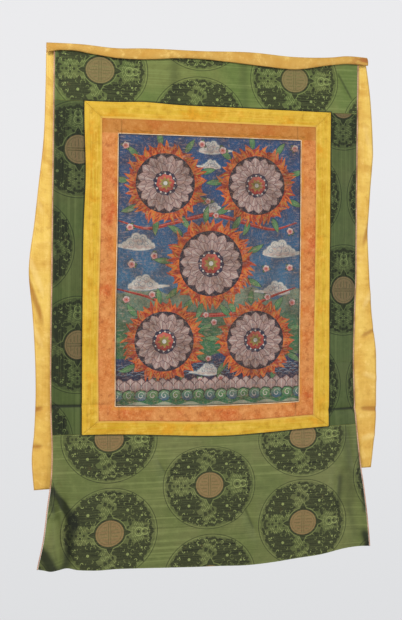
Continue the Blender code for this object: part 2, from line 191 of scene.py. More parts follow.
def inside(points, outline):
    """Which points lie inside an outline."""
    starts = np.array(outline)
    ends = np.roll(starts, -1, axis=0)
    odd = np.zeros(len(points), bool)
    for (x0, z0), (x1, z1) in zip(starts, ends):
        if z0 == z1:
            continue
        crosses = (points[:, 1] > z0) != (points[:, 1] > z1)
        odd ^= crosses & (points[:, 0] < x0 + (points[:, 1] - z0) * (x1 - x0) / (z1 - z0))
    return odd


def topmost(points, figures):
    """The number of the last figure drawn at each point, from 1, or 0."""
    order = np.argsort(points[:, 1])
    heights = points[order, 1]
    tops = np.zeros(len(points), int)
    for number, figure in enumerate(figures, 1):
        loop = np.array(figure["outline"])
        (left, low), (right, high) = loop.min(0), loop.max(0)
        near = order[np.searchsorted(heights, low):np.searchsorted(heights, high)]
        near = near[(points[near, 0] > left) & (points[near, 0] < right)]
        tops[near[inside(points[near], loop)]] = number
    return tops


def shown_outlines(figures, loop):
    """The points and edges of the figures' outlines, without what lies under a later figure."""
    starts = np.concatenate([figure["outline"] for figure in figures])
    ends = np.concatenate([np.roll(figure["outline"], -1, axis=0) for figure in figures])
    sizes = [len(figure["outline"]) for figure in figures]
    owner = np.repeat(np.arange(1, len(figures) + 1), sizes)
    follower = np.concatenate([np.roll(np.arange(size), -1) + first
                               for size, first in zip(sizes, np.cumsum([0] + sizes[:-1]))])
    tops = topmost(starts, figures)
    tops_between = topmost((starts + ends) / 2, figures)
    hidden = (tops > owner) & (tops[follower] > owner) & (tops_between > owner)
    within = inside(starts, loop)
    shown = np.nonzero(~hidden & (within | within[follower]))[0]
    used, numbers = np.unique(np.concatenate([shown, follower[shown]]), return_inverse=True)
    return starts[used], numbers.reshape(2, -1).T.tolist()


def net(outline, step, figures):
    """Triangles that fill an outline, cut along the outlines of the figures drawn on it. Gives the
    points, the triangles, and the number of the topmost figure under each, from 1, or 0."""
    loop = np.array(outline)
    ahead, behind = np.roll(loop, -1, axis=0), np.roll(loop, 1, axis=0)
    turn = np.sign(np.sum(loop[:, 0] * ahead[:, 1] - ahead[:, 0] * loop[:, 1]))
    inward = np.stack([behind[:, 1] - ahead[:, 1], ahead[:, 0] - behind[:, 0]], 1) * turn
    inward /= np.linalg.norm(inward, axis=1)[:, None]
    low, high = loop.min(0), loop.max(0)
    places = [loop + inward * distance for distance in EDGE_ROWS]
    places.append(np.array([(x, z) for z in np.arange(low[1] + step / 2, high[1], step)
                            for x in np.arange(low[0] + step / 2, high[0], step)]))
    places.append(np.array(crease_places(low, high)).reshape(-1, 2))
    count = sum(map(len, places))
    ends = list(range(count, count + len(loop)))
    edges = list(zip(ends, ends[1:] + ends[:1]))
    places.append(loop)
    count += len(loop)
    if figures:
        shown_places, shown_edges = shown_outlines(figures, loop)
        places.append(shown_places)
        edges += [(count + start, count + end) for start, end in shown_edges]
    flat = [Vector(place) for place in np.concatenate(places) / MM]
    points, _, triangles, *_ = delaunay_2d_cdt(flat, edges, [], 0, 1e-4, False)
    points, triangles = np.array(points) * MM, np.array(triangles)
    centres = points[triangles].mean(axis=1)
    kept = inside(centres, loop)
    used, triangles = np.unique(triangles[kept], return_inverse=True)
    return points[used], triangles.reshape(-1, 3), topmost(centres[kept], figures)


def marks(mesh, points, triangles, tops, figures, plain):
    """Gives each corner of a sheet the tone of the figure it lies in, shaded along it."""
    corners = points[triangles.ravel()]
    tones = np.tile(np.array(plain, float), (len(corners), 1))
    owner = np.repeat(tops, 3)
    for number in np.unique(tops[tops > 0]):
        figure = figures[number - 1]
        mine = owner == number
        first = np.array(figure["tone"])
        share = np.zeros(mine.sum())
        if "along" in figure:
            x0, z0, x1, z1 = figure["along"]
            run = np.array([x1 - x0, z1 - z0])
            share = np.clip((corners[mine] - (x0, z0)) @ run / (run @ run), 0, 1)
        tones[mine] = first + (np.array(figure.get("to", first)) - first) * share[:, None]
    layer = mesh.color_attributes.new("marks", "FLOAT_COLOR", "CORNER")
    layer.data.foreach_set("color", np.column_stack([tones, np.ones(len(tones))]).ravel())


def add(name, data):
    """Puts new data in the scene, as an object."""
    made = bpy.data.objects.new(name, data)
    bpy.context.scene.collection.objects.link(made)
    return made


def thicken(piece, offset):
    """Gives a sheet its thickness: behind its points at -1, to both sides of them at 0."""
    thickness = piece.modifiers.new("Thickness", "SOLIDIFY")
    thickness.thickness = SEEN_CLOTH
    thickness.offset = offset


def sheet(name, outline, layer, step, figures=(), plain=(0, 0, 0)):
    """A sewn sheet on the shared form, so many layers in front of the ground. Its edge rolls back
    and puckers a little, as a turned and stitched edge does."""
    points, triangles, tops = net(outline, step, figures)
    x, z = bowed(*points.T)
    from_edge = edge_distance(points, outline)
    tuck = TUCK * np.clip(1 - from_edge / EDGE_ROWS[-1], 0, 1) ** 2
    pucker = (PUCKER * np.sin(2 * np.pi * (x + z) / PUCKER_LENGTH + 9 * x)
              * np.clip(1 - from_edge / PUCKER_REACH, 0, 1))
    y = -hang(x, z) - layer * LAYER - CLOTH + tuck + pucker
    mesh = bpy.data.meshes.new(name)
    mesh.from_pydata(np.column_stack([x, y, z]).tolist(), [], triangles.tolist())
    mesh.attributes.new("edge", "FLOAT", "POINT").data.foreach_set("value", from_edge)
    # painted shade and highlight along the ground's folds, from the table above
    mesh.attributes.new("soiling_and_fold_shading", "FLOAT", "POINT").data.foreach_set("value", ridges(x, z, FOLD_SHADING))
    flat = np.column_stack([points[:, 0], 0 * x, points[:, 1]])
    mesh.attributes.new("flat", "FLOAT_VECTOR", "POINT").data.foreach_set("vector", flat.ravel())
    if figures:
        marks(mesh, points, triangles, tops, figures, plain)
    mesh.shade_smooth()
    made = add(name, mesh)
    thicken(made, -1)
    return made


class Value:
    """A socket in a finish, written in sums like a number: each operator adds a Math node."""

    def __init__(self, finish, socket):
        self.finish, self.socket = finish, socket

    def __add__(self, other):
        return self.finish.math("ADD", self, other)

    def __sub__(self, other):
        return self.finish.math("SUBTRACT", self, other)

    def __rsub__(self, other):
        return self.finish.math("SUBTRACT", other, self)

    def __mul__(self, other):
        return self.finish.math("MULTIPLY", self, other)

    def __abs__(self):
        return self.finish.math("ABSOLUTE", self)

    def wave(self, period):
        """A sine, from -1 to 1, with a period in the value's own unit."""
        return self.finish.math("SINE", self * (2 * math.pi / period))

    def between(self, low, high):
        """0 at low and 1 at high, smooth and clamped."""
        return self.finish.node("MapRange", {"interpolation_type": "SMOOTHSTEP"},
                                {"Value": self, "From Min": low, "From Max": high})

    __radd__ = __add__
    __rmul__ = __mul__


class Finish:
    """A material with one Principled shader, for one kind of cloth."""

    def __init__(self, name, roughness, sheen=0.0, specular=0.15):
        self.material = bpy.data.materials.new(name)
        self.material.use_nodes = True
        self.tree = self.material.node_tree
        self.shader = self.tree.nodes["Principled BSDF"]
        self.shader.inputs["Roughness"].default_value = roughness
        self.shader.inputs["Sheen Weight"].default_value = sheen
        self.shader.inputs["Sheen Roughness"].default_value = 0.4
        self.shader.inputs["Specular IOR Level"].default_value = specular
        self.place = self.node("TexCoord", {}, {}, "Object")
        self.x, self.z = self.axes(self.place)

    def node(self, kind, settings, values, output=0):
        """A node of this kind: its settings are made first, then its sockets' values and links."""
        made = self.tree.nodes.new("ShaderNode" + kind)
        for key, setting in settings.items():
            setattr(made, key, setting)
        for key, value in values.items():
            if isinstance(value, Value):
                self.tree.links.new(value.socket, made.inputs[key])
            else:
                made.inputs[key].default_value = value
        return Value(self, made.outputs[output])

    def noise(self, across, down, detail=3.0, rough=0.5, shift=0.0):
        """Noise with so many blotches a metre across and down the cloth."""
        spread = self.node("Mapping", {}, {0: self.place, 1: (shift, shift, shift),
                                           3: (across, 0.0, down)})
        return self.node("TexNoise", {}, {"Vector": spread, "Scale": 1.0, "Detail": detail,
                                          "Roughness": rough})

    def math(self, operation, first, second=0.0):
        return self.node("Math", {"operation": operation}, {0: first, 1: second})

    def attribute(self, name, output="Fac"):
        return self.node("Attribute", {"attribute_name": name}, {}, output)

    def axes(self, place):
        """How far a place lies along X and along Z."""
        return [self.node("SeparateXYZ", {}, {0: place}, axis) for axis in (0, 2)]

    def blend(self, share, first, last):
        first, last = [colour if isinstance(colour, Value) else (*colour, 1.0)
                       for colour in (first, last)]
        return self.node("Mix", {"data_type": "RGBA"}, {0: share, 6: first, 7: last}, 2)

    def layers(self, tone, rows):
        """The tone with a colour laid over it for each row: how much of it shows, and the colour."""
        for share, colour in rows:
            tone = self.blend(share, tone, shade(*colour))
        return tone

    def weave(self, across, down):
        """The height of a plain weave with so many threads a metre, from -1 to 1."""
        slow = self.noise(30, 30, 2)
        return ((self.x + slow * (1.6 / across)).wave(2 / across)
                * (self.z + slow * (1.6 / down)).wave(2 / down))

    def outside(self, half_width, low, high):
        """How far a place on the straight pattern lies outside a rectangle."""
        x, z = self.axes(self.attribute("flat", "Vector"))
        past = self.math("MAXIMUM", z - high, low - z)
        return self.math("MAXIMUM", past, abs(x) - half_width)

    def mottle(self, tone, count, dark, light, share):
        """The tone with blotches of a darker and a lighter one, about so many a metre."""
        blotch = self.noise(count, count, 5, 0.68, 11.0)
        return self.layers(tone, ((blotch.between(0.51, 0.66) * share, dark),
                                  ((1 - blotch.between(0.34, 0.49)) * share, light)))

    def stitches(self, from_edge, length=0.0045):
        """Running stitches at a distance inside a sheet's edge."""
        line = 1 - abs(self.attribute("edge") - from_edge).between(0.0002, 0.0004)
        return line * (self.x + self.z).wave(length).between(0.0, 0.3)

    def surface(self, colour, roughness, height, distance):
        """Links the finish's colour, roughness and bump height to its shader."""
        bump = self.node("Bump", {}, {"Height": height, "Strength": 1.0, "Distance": distance})
        for key, value in (("Base Color", colour), ("Roughness", roughness), ("Normal", bump)):
            self.tree.links.new(value.socket, self.shader.inputs[key])


def shade(red, green, blue):
    """A colour as a screen shows it, from 0 to 255, in the values that a shader takes."""
    return tuple(c / 12.92 if c <= 0.04045 else ((c + 0.055) / 1.055) ** 2.4
                 for c in (red / 255, green / 255, blue / 255))


def dress(piece, finish, node):
    """Gives a piece its finish, and puts it in the place of a node of the frame."""
    piece.data.materials.append(finish.material)
    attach(piece, "root")
    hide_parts(node)


low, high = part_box("picture")
PICTURE_X, PICTURE_HIGH, PICTURE_LOW = high.x, high.z, low.z
MIDDLE = (PICTURE_HIGH + PICTURE_LOW) / 2
WIDE, TALL = PICTURE_X / MM, (PICTURE_HIGH - PICTURE_LOW) / MM / 2      # half sizes, in millimetres
PICTURE_STEP = 0.006        # between the points of its mesh
random.seed(12)
painted = []


def paint(outline, tone, to=None, along=None):
    """Adds a painted shape on top of the others, shaded from one tone to another along a line.
    Sizes are in millimetres from the picture's middle."""
    figure = {"outline": [(x * MM, MIDDLE + z * MM) for x, z in outline], "tone": tone}
    if to:
        figure["to"] = to
        figure["along"] = (along[0] * MM, MIDDLE + along[1] * MM, along[2] * MM, MIDDLE + along[3] * MM)
    painted.append(figure)


def polar(x, z, radius, angle):
    return x + radius * math.cos(angle), z + radius * math.sin(angle)


def rounded(x, z, radius, lobes=0, depth=0.0, turn=0.0, points=28, tall=1.0):
    """A circle or oval, or a flower of so many lobes."""
    outline = []
    for k in range(points):
        angle = 2 * math.pi * k / points
        reach = radius * (1 + depth * abs(math.sin((angle - turn) * lobes / 2)))
        outline.append((x + reach * math.cos(angle), z + tall * reach * math.sin(angle)))
    return outline


def petal(x, z, start, end, angle, width, belly=0.75, bend=0.0, points=7):
    """A petal from start to end along an angle; a belly over 1 is widest towards the centre."""
    left, right = [], []
    for k in range(points + 1):
        t = k / points
        half = width * math.sin(math.pi * t ** belly) ** 0.8 if 0 < k < points else 0.0
        lean = angle + bend * t * t
        middle = polar(x, z, start + (end - start) * t, lean)
        left.append(polar(*middle, half, lean + math.pi / 2))
        right.append(polar(*middle, -half, lean + math.pi / 2))
    return left + right[-2:0:-1]


def stroke(path, width):
    """A brush stroke along a path, thin at its ends."""
    left, right = [], []
    for k, (x, z) in enumerate(path):
        before, after = path[max(k - 1, 0)], path[min(k + 1, len(path) - 1)]
        across = math.atan2(after[1] - before[1], after[0] - before[0]) + math.pi / 2
        half = width / 2 * math.sin(math.pi * (k + 0.6) / (len(path) + 0.2)) ** 0.6
        left.append(polar(x, z, half, across))
        right.append(polar(x, z, -half, across))
    return left + right[::-1]


def curl(x, z, radius, start, turns, points=12):
    """The path of a scroll that winds in to its centre."""
    return [polar(x, z, radius * (1 - 0.8 * k / (points - 1)),
                  start + turns * 2 * math.pi * k / (points - 1)) for k in range(points)]


INK, NAVY = shade(34, 40, 56), shade(34, 44, 70)
SKY, SKY_LOW = shade(30, 78, 122), shade(64, 112, 142)
FLAME, ORANGE_RED, EMBER = shade(222, 122, 54), shade(200, 80, 38), shade(150, 48, 36)
ROSE, ROSE_GREY, MAUVE = shade(192, 166, 158), shade(150, 120, 116), shade(104, 76, 80)
CHALK, CHALK_BLUE = shade(208, 204, 194), shade(116, 138, 154)
LEAF, LEAF_LIGHT, LEAF_DARK = shade(46, 110, 72), shade(112, 156, 104), shade(26, 62, 52)
MEADOW, MEADOW_LIGHT = shade(84, 116, 98), shade(158, 164, 138)
RED, RED_LIGHT = shade(158, 46, 44), shade(202, 98, 86)
PINK, GOLD = shade(214, 150, 146), shade(190, 146, 64)


def sky_and_land():
    """The picture's far ground, from deep blue down to meadows and water."""
    paint([(-WIDE - 2, -90), (WIDE + 2, -90), (WIDE + 2, TALL + 2), (-WIDE - 2, TALL + 2)],
          SKY_LOW, SKY, (0, -50, 0, 150))
    for level, drop, tone, to in ((-44, 46, MEADOW, MEADOW_LIGHT), (-104, 40, LEAF, MEADOW),
                                  (-188, 22, NAVY, SKY), (-240, 12, LEAF, LEAF_LIGHT)):
        rim = [(x, level + drop * (0.28 * math.sin(x / 31 + level) + 0.16 * math.sin(x / 13)))
               for x in range(int(-WIDE) - 4, int(WIDE) + 5, 6)]
        paint(rim + [(WIDE + 4, -TALL - 4), (-WIDE - 4, -TALL - 4)], tone, to,
              (0, level - drop, 0, level + drop))
    for row in range(5):
        for k in range(-9, 10):
            x, z = k * 22 + 11 * (row % 2), -204 - row * 5.2
            arch = [(x + 10 * math.cos(a), z + 4.2 * math.sin(a)) for a in np.linspace(0.1, 3.04, 9)]
            paint(stroke(arch, 1.4), CHALK_BLUE)


def cloud(x, z, size, hand=1):
    """A scroll cloud: a bank of lobes with a tail, and a curl in each lobe."""
    lobes = [(0, 0, 1.0), (hand * 1.25, -0.15, 0.8), (-hand * 1.1, -0.2, 0.75), (hand * 0.5, 0.7, 0.7),
             (-hand * 0.55, 0.55, 0.62), (hand * 2.1, -0.4, 0.5), (-hand * 1.9, -0.5, 0.45)]
    for grow, tone in ((1.6, CHALK_BLUE), (0.0, CHALK)):
        tail = [(x - hand * size * (2.4 - 6.8 * t), z - size * (0.7 + 0.25 * math.sin(5 * t)))
                for t in np.linspace(0, 1, 10)]
        paint(stroke(tail, size * 0.6 + 2 * grow), tone)
        for across, up, share in lobes:
            lobe = (x + across * size, z + up * size)
            if grow:
                paint(rounded(*lobe, size * share + grow, points=20), tone)
            else:
                paint(rounded(*lobe, size * share, points=20), ROSE, CHALK,
                      (lobe[0], lobe[1] - size * share, lobe[0], lobe[1]))
    for across, up, share in lobes[:5]:
        path = curl(x + across * size, z + up * size, size * share * 0.72, random.uniform(0, 6.3),
                    hand * 1.2)
        paint(stroke(path, 1.3), CHALK_BLUE)


def leaf(x, z, length, angle, width=5.0):
    bend = random.uniform(-0.25, 0.25)
    paint(petal(x, z, 0, length, angle, width + 1.0, 0.8, bend), LEAF_DARK)
    paint(petal(x, z, 1.5, length - 2, angle, width, 0.8, bend), LEAF, LEAF_LIGHT,
          (x, z, *polar(x, z, length, angle)))
    paint(stroke([polar(x, z, length * t, angle + bend * t * t) for t in (0.1, 0.3, 0.5, 0.7, 0.85)],
                 0.9), LEAF_LIGHT)


def small_rose(x, z, size):
    for _ in range(3):
        leaf(x, z, size * 2.0, random.uniform(0, 6.3), size * 0.5)
    paint(rounded(x, z, size + 0.9, 5, 0.22, points=25), MAUVE)
    paint(rounded(x, z, size, 5, 0.22, points=25), PINK, CHALK, (x, z - size, x, z + size))
    paint(rounded(x, z, size * 0.62, 5, 0.25, 0.6, points=20), RED_LIGHT, PINK,
          (x, z - size * 0.5, x, z + size * 0.6))
    paint(rounded(x, z, size * 0.25, points=9), RED)


def lotus(x, z, size):
    """A large round lotus: flame-coloured tongues outside, pale veined petals, a dark heart."""
    turn = random.uniform(0, 1)
    paint(rounded(x, z, size * 0.83, 26, 0.07, turn, 78), EMBER)
    for count, start, low, high, width in ((46, 0.68, 0.93, 1.05, 0.056), (40, 0.68, 0.83, 0.92, 0.050)):
        for k in range(count):
            angle = turn + 2 * math.pi * (k + random.uniform(-0.2, 0.2)) / count
            reach = size * random.uniform(low, high)
            tones = ((FLAME, ORANGE_RED), (ORANGE_RED, FLAME), (EMBER, ORANGE_RED))[k % 3]
            bend = random.uniform(-0.16, 0.16)
            paint(petal(x, z, size * start, reach, angle, size * width, 0.6, bend), *tones,
                  (*polar(x, z, size * 0.7, angle), *polar(x, z, reach, angle)))
            paint(petal(x, z, size * 0.74, reach * 0.94, angle, size * width * 0.3, 0.7, bend, 4),
                  EMBER if k % 2 else GOLD)
    paint(rounded(x, z, size * 0.71, points=48), INK)
    for count, start, end, width, offset in ((16, 0.34, 0.69, 0.135, 0.0), (12, 0.2, 0.53, 0.125, 0.5)):
        for k in range(count):
            angle = turn + 2 * math.pi * (k + offset) / count
            foot, tip = polar(x, z, size * start, angle), polar(x, z, size * end, angle)
            paint(petal(x, z, size * start * 0.7, size * end, angle, size * width + 0.7, 1.25), MAUVE)
            paint(petal(x, z, size * start * 0.7, size * end - 1.2, angle, size * width - 0.5, 1.25),
                  ROSE_GREY, ROSE, (*foot, *tip))
            for lean in (-0.09, 0.0, 0.09):
                vein = [polar(x, z, size * (start + (end - start) * t), angle + lean * (0.4 + t))
                        for t in (0.2, 0.45, 0.7, 0.86)]
                paint(stroke(vein, 0.9), MAUVE if lean else CHALK)
    paint(rounded(x, z, size * 0.27, 12, 0.12, turn, 36), NAVY)
    for k in range(12):
        paint(rounded(*polar(x, z, size * 0.235, turn + math.pi * k / 6), size * 0.022, points=8), CHALK)
    paint(rounded(x, z, size * 0.19, 8, 0.18, turn, 32), RED, RED_LIGHT,
          (x, z - size * 0.2, x, z + size * 0.2))
    for k in range(8):
        angle = turn + math.pi * (k + 0.5) / 4
        paint(petal(x, z, size * 0.03, size * 0.16, angle, size * 0.035), LEAF, GOLD,
              (x, z, *polar(x, z, size * 0.16, angle)))
    paint(rounded(x, z, size * 0.05, points=12), CHALK)


def scarf(bends, width):
    """A red band that winds behind the flowers, with a light edge."""
    path = [tuple(np.array(a) * (1 - t) + np.array(b) * t)
            for a, b in zip(bends, bends[1:]) for t in np.linspace(0, 1, 6, endpoint=False)]
    for _ in range(3):
        path = [path[0]] + [tuple((np.array(a) + 2 * np.array(b) + np.array(c)) / 4)
                            for a, b, c in zip(path, path[1:], path[2:])] + [path[-1]]
    paint(stroke(path, width + 1.6), EMBER)
    paint(stroke(path, width), RED)
    paint(stroke([(x, z + width * 0.2) for x, z in path], width * 0.3), RED_LIGHT)


def foot_border():
    """Overlapping petals over a band of scrolls, along the picture's foot."""
    for shift, height in ((0.5, 30), (0.0, 24)):
        for k in range(-10, 11):
            x, z = (k + shift) * 23, -258
            paint(petal(x, z, 0, height, math.pi / 2, 11.5, 1.1), MAUVE)
            paint(petal(x, z, 0, height - 1.6, math.pi / 2, 9.8, 1.1), ROSE_GREY, ROSE,
                  (x, z, x, z + height))
            paint(stroke([(x, z + height * t) for t in (0.15, 0.4, 0.65, 0.85)], 1.0), CHALK)
    for k in range(-8, 9):
        x = k * 25
        paint(rounded(x, -264, 14, 7, 0.10, k, 28, 0.8), LEAF_DARK)
        paint(rounded(x, -265, 12, 7, 0.10, k, 28, 0.8), LEAF if k % 2 else SKY, LEAF_LIGHT,
              (x, -277, x, -252))
        paint(stroke(curl(x, -265, 8, 0.4, 1.2), 1.5), CHALK)
    rim = [(x, -TALL + 5 + 3 * math.sin(x / 9)) for x in range(int(WIDE) + 2, int(-WIDE) - 3, -6)]
    paint([(-WIDE - 3, -TALL - 4), (WIDE + 3, -TALL - 4)] + rim, MEADOW_LIGHT)


LARGE = ((-101, 184, 90), (101, 184, 90), (0, 14, 99), (-101, -152, 90), (101, -152, 90))
sky_and_land()
for x, z, size, hand in ((-2, 262, 11, 1), (-156, 58, 14, -1), (152, 46, 15, 1), (3, 132, 9, 1),
                         (-148, -28, 13, 1), (150, -40, 12, -1), (-3, -214, 10, -1), (0, 226, 8, -1)):
    cloud(x, z, size, hand)
for bends in (((-204, 104), (-140, 84), (-70, 104), (0, 122), (70, 104), (140, 86), (204, 108)),
              ((-204, -40), (-130, -58), (-70, -92), (0, -98), (70, -92), (132, -58), (204, -34))):
    scarf(bends, 7.5)
for x, z, size in LARGE:
    for k in range(9):
        leaf(*polar(x, z, size * 0.86, k * 0.698 + 0.3), size * 0.42, k * 0.698 + 0.3, 6.0)
for x, z, size in ((-22, 270, 6), (24, 258, 6.5), (-8, 148, 5), (10, 118, 5), (-176, 90, 6),
                   (178, 86, 6), (-124, 30, 6), (-172, 12, 6.5), (124, 4, 6), (178, 6, 6), (-10, -96, 5),
                   (-128, -52, 6), (-182, -62, 6), (128, -58, 6), (184, -70, 6), (8, -112, 5.5),
                   (-22, -236, 6), (24, -232, 6), (-4, -190, 5), (-186, 262, 6), (188, 268, 6)):
    small_rose(x, z, size)
for x, z, size in LARGE:
    lotus(x, z, size)
foot_border()

colours = Finish("painted_cotton", 0.72, specular=0.12)
tone = colours.layers(colours.attribute("marks", "Color"), (
    (0.16 + colours.noise(26, 26, 5).between(0.35, 0.7) * 0.45, (66, 44, 30)),))
tone = colours.mottle(tone, 150, (48, 36, 30), (176, 132, 98), 0.34)
rubbed = (colours.noise(60, 260, 5, 0.65).between(0.52, 0.68)
          * colours.noise(9, 9, 2).between(0.42, 0.62))
cracks = colours.node("TexVoronoi", {"feature": "DISTANCE_TO_EDGE"},
                      {"Vector": colours.place, "Scale": 190.0})
cracked = (1 - cracks.between(0.0, 0.06)) * colours.noise(14, 14, 3, shift=3.0).between(0.42, 0.60)
tone = colours.layers(tone, (
    (colours.noise(90, 160, 4, 0.65, 2.0).between(0.50, 0.66) * 0.16, (40, 104, 120)),
    (colours.noise(420, 420, 2).between(0.45, 0.75) * 0.28, (164, 138, 124)),
    (rubbed * 0.5, (178, 156, 142)),
    (cracked * 0.45, (52, 42, 38)),
    ((1 - colours.attribute("edge").between(0.0, 0.004)) * 0.5, (30, 32, 38))))
colours.surface(tone, 0.6 + rubbed * 0.25,
                colours.weave(700, 700) * 0.5 - cracked * 1.2 + colours.noise(420, 420, 2), 0.00012)

picture = sheet("picture_cloth", box_outline(-PICTURE_X, PICTURE_X, PICTURE_LOW, PICTURE_HIGH), 3,
                PICTURE_STEP, painted, MEADOW)
dress(picture, colours, "picture")

# ---------------------------------------------------------------------------------------------
# The cord: a thin cream cord of two twisted plies, laid once round the picture over its seam. It is
# made as one closed round, turned gently at the corners.
CORD_RADIUS = 0.0009
TWIST, TURN_POINTS = 0.0044, 6                  # the length of one turn, and the points in it
PLY_SWING = 0.0004

cord_out = SEAM + CORD_RADIUS
half = PICTURE_X + cord_out
rise = (PICTURE_HIGH - PICTURE_LOW) / 2 + cord_out
corners = np.array([(0, -rise), (half, -rise), (half, rise), (-half, rise), (-half, -rise), (0, -rise)])
distances = np.append(0, np.cumsum(np.hypot(*np.diff(corners, axis=0).T)))
around = round(distances[-1] / TWIST) * TURN_POINTS
run = np.arange(around) * distances[-1] / around
x, z = [np.interp(run, distances, corners[:, axis]) for axis in (0, 1)]
near_x = np.clip(x, -PICTURE_X, PICTURE_X)
near_z = np.clip(z, cord_out - rise, rise - cord_out)
away = np.hypot(x - near_x, z - near_z)
plies = bpy.data.curves.new("edge_cord", "CURVE")
plies.dimensions = "3D"
plies.bevel_depth = CORD_RADIUS - PLY_SWING
plies.bevel_resolution = 1
for ply in (0, math.pi):
    turn = np.arange(around) * 2 * math.pi / TURN_POINTS + ply
    reach = (cord_out + PLY_SWING * np.cos(turn)) / away
    ply_x, ply_z = bowed(near_x + (x - near_x) * reach, MIDDLE + near_z + (z - near_z) * reach)
    depth = hang(ply_x, ply_z) + 2 * LAYER + CLOTH + cord_out + PLY_SWING * np.sin(turn)
    spline = plies.splines.new("POLY")
    spline.points.add(around - 1)
    spline.points.foreach_set("co", np.column_stack([ply_x, -depth, ply_z, np.ones(around)]).ravel())
    spline.use_cyclic_u = True
cord = add("edge_cord", plies)

twine = Finish("cream_cord", 0.8, sheen=0.02)
dirt_and_crease_shading = twine.noise(40, 40, 4).between(0.42, 0.66)
tone = twine.blend(dirt_and_crease_shading * 0.7, shade(240, 220, 186), shade(196, 160, 118))
twine.surface(tone, 0.75 + dirt_and_crease_shading * 0.1, twine.noise(2600, 2600, 1), 0.00008)
dress(cord, twine, "cord")

# ---------------------------------------------------------------------------------------------
# The orange strips: worn orange silk next to the picture. The two side strips run the full height,
# the top and bottom strips are set between them, and each is turned under along its edges.
ORANGE_SIDE, ORANGE_TOP, ORANGE_BOTTOM = 0.035, 0.032, 0.030
LAP = 0.006                 # how far each piece runs on under the one in front of it
STRIP_STEP = 0.003          # between the points of a strip's mesh
ORANGE_STITCHES = 0.0020    # in from the strip's edge
ORANGE_X = PICTURE_X + ORANGE_SIDE
ORANGE_HIGH, ORANGE_LOW = PICTURE_HIGH + ORANGE_TOP, PICTURE_LOW - ORANGE_BOTTOM

orange = Finish("orange_silk", 0.55, sheen=0.03)
from_picture = orange.outside(PICTURE_X, PICTURE_LOW, PICTURE_HIGH)
patches = orange.noise(24, 20, 4)
threads = orange.noise(130, 1300, 2) + orange.noise(1300, 130, 2, shift=2.0)
flecks = orange.noise(380, 380, 3, 0.6, shift=7.0)
worn = (from_picture.between(0.003, 0.006) * (1 - from_picture.between(0.009, 0.013))
        * orange.z.between(PICTURE_HIGH, PICTURE_HIGH + 0.002))
tone = orange.layers(shade(204, 134, 72), (
    (patches.between(0.36, 0.64), (194, 108, 48)),
    (orange.noise(13, 13, 3, shift=5.0).between(0.54, 0.66) * 0.8, (190, 78, 34)),
    (threads.between(0.94, 1.20) * 0.55, (224, 160, 100)),
    (flecks.between(0.56, 0.70) * 0.45, (166, 92, 40))))
tone = orange.mottle(tone, 70, (150, 72, 30), (228, 164, 102), 0.55)
tone = orange.layers(tone, (
    ((1 - from_picture.between(0.004, 0.011)) * patches.between(0.36, 0.66) * 0.6, (206, 142, 52)),
    (worn * orange.noise(70, 300, 4, 0.7).between(0.46, 0.58) * 0.8, (128, 74, 32)),
    (orange.z.between(PICTURE_HIGH, PICTURE_HIGH + 0.004) * 0.52, (166, 112, 36)),
    (orange.stitches(ORANGE_STITCHES) * 0.4, (150, 78, 40))))
orange.surface(tone, 0.5 + patches.between(0.3, 0.7) * 0.2,
               threads * 0.8 + flecks * 0.5 + orange.weave(900, 900) * 0.4
               - orange.stitches(ORANGE_STITCHES) * 1.5, 0.00016)

inner = PICTURE_X - LAP
for name, outline, flat in (
        ("left", box_outline(-ORANGE_X, -inner, ORANGE_LOW, ORANGE_HIGH), (0.043, 0.628)),
        ("right", box_outline(inner, ORANGE_X, ORANGE_LOW, ORANGE_HIGH), (0.041, 0.628)),
        ("top", box_outline(SEAM - inner, inner - SEAM, PICTURE_HIGH - LAP, ORANGE_HIGH),
         (0.387, 0.038)),
        ("bottom", box_outline(SEAM - inner, inner - SEAM, ORANGE_LOW, PICTURE_LOW + LAP),
         (0.388, 0.041))):
    strip = sheet("orange_strip_" + name, outline, 2, STRIP_STEP)
    dress(strip, orange, "orange_" + name)
    "yellow_" + name

# ---------------------------------------------------------------------------------------------
# The yellow strips: golden silk outside the orange, sewn with mitred corners over the edges of the
# green panels. Their weave shows as streaks along each strip.
YELLOW_SIDE, YELLOW_TOP, YELLOW_BOTTOM = 0.037, 0.034, 0.028
YELLOW_STITCHES = 0.0024    # in from the strip's edge
MITRE_GAP = 0.5 * SEAM      # what each strip leaves free at a corner
YELLOW_X = ORANGE_X + YELLOW_SIDE
YELLOW_HIGH, YELLOW_LOW = ORANGE_HIGH + YELLOW_TOP, ORANGE_LOW - YELLOW_BOTTOM


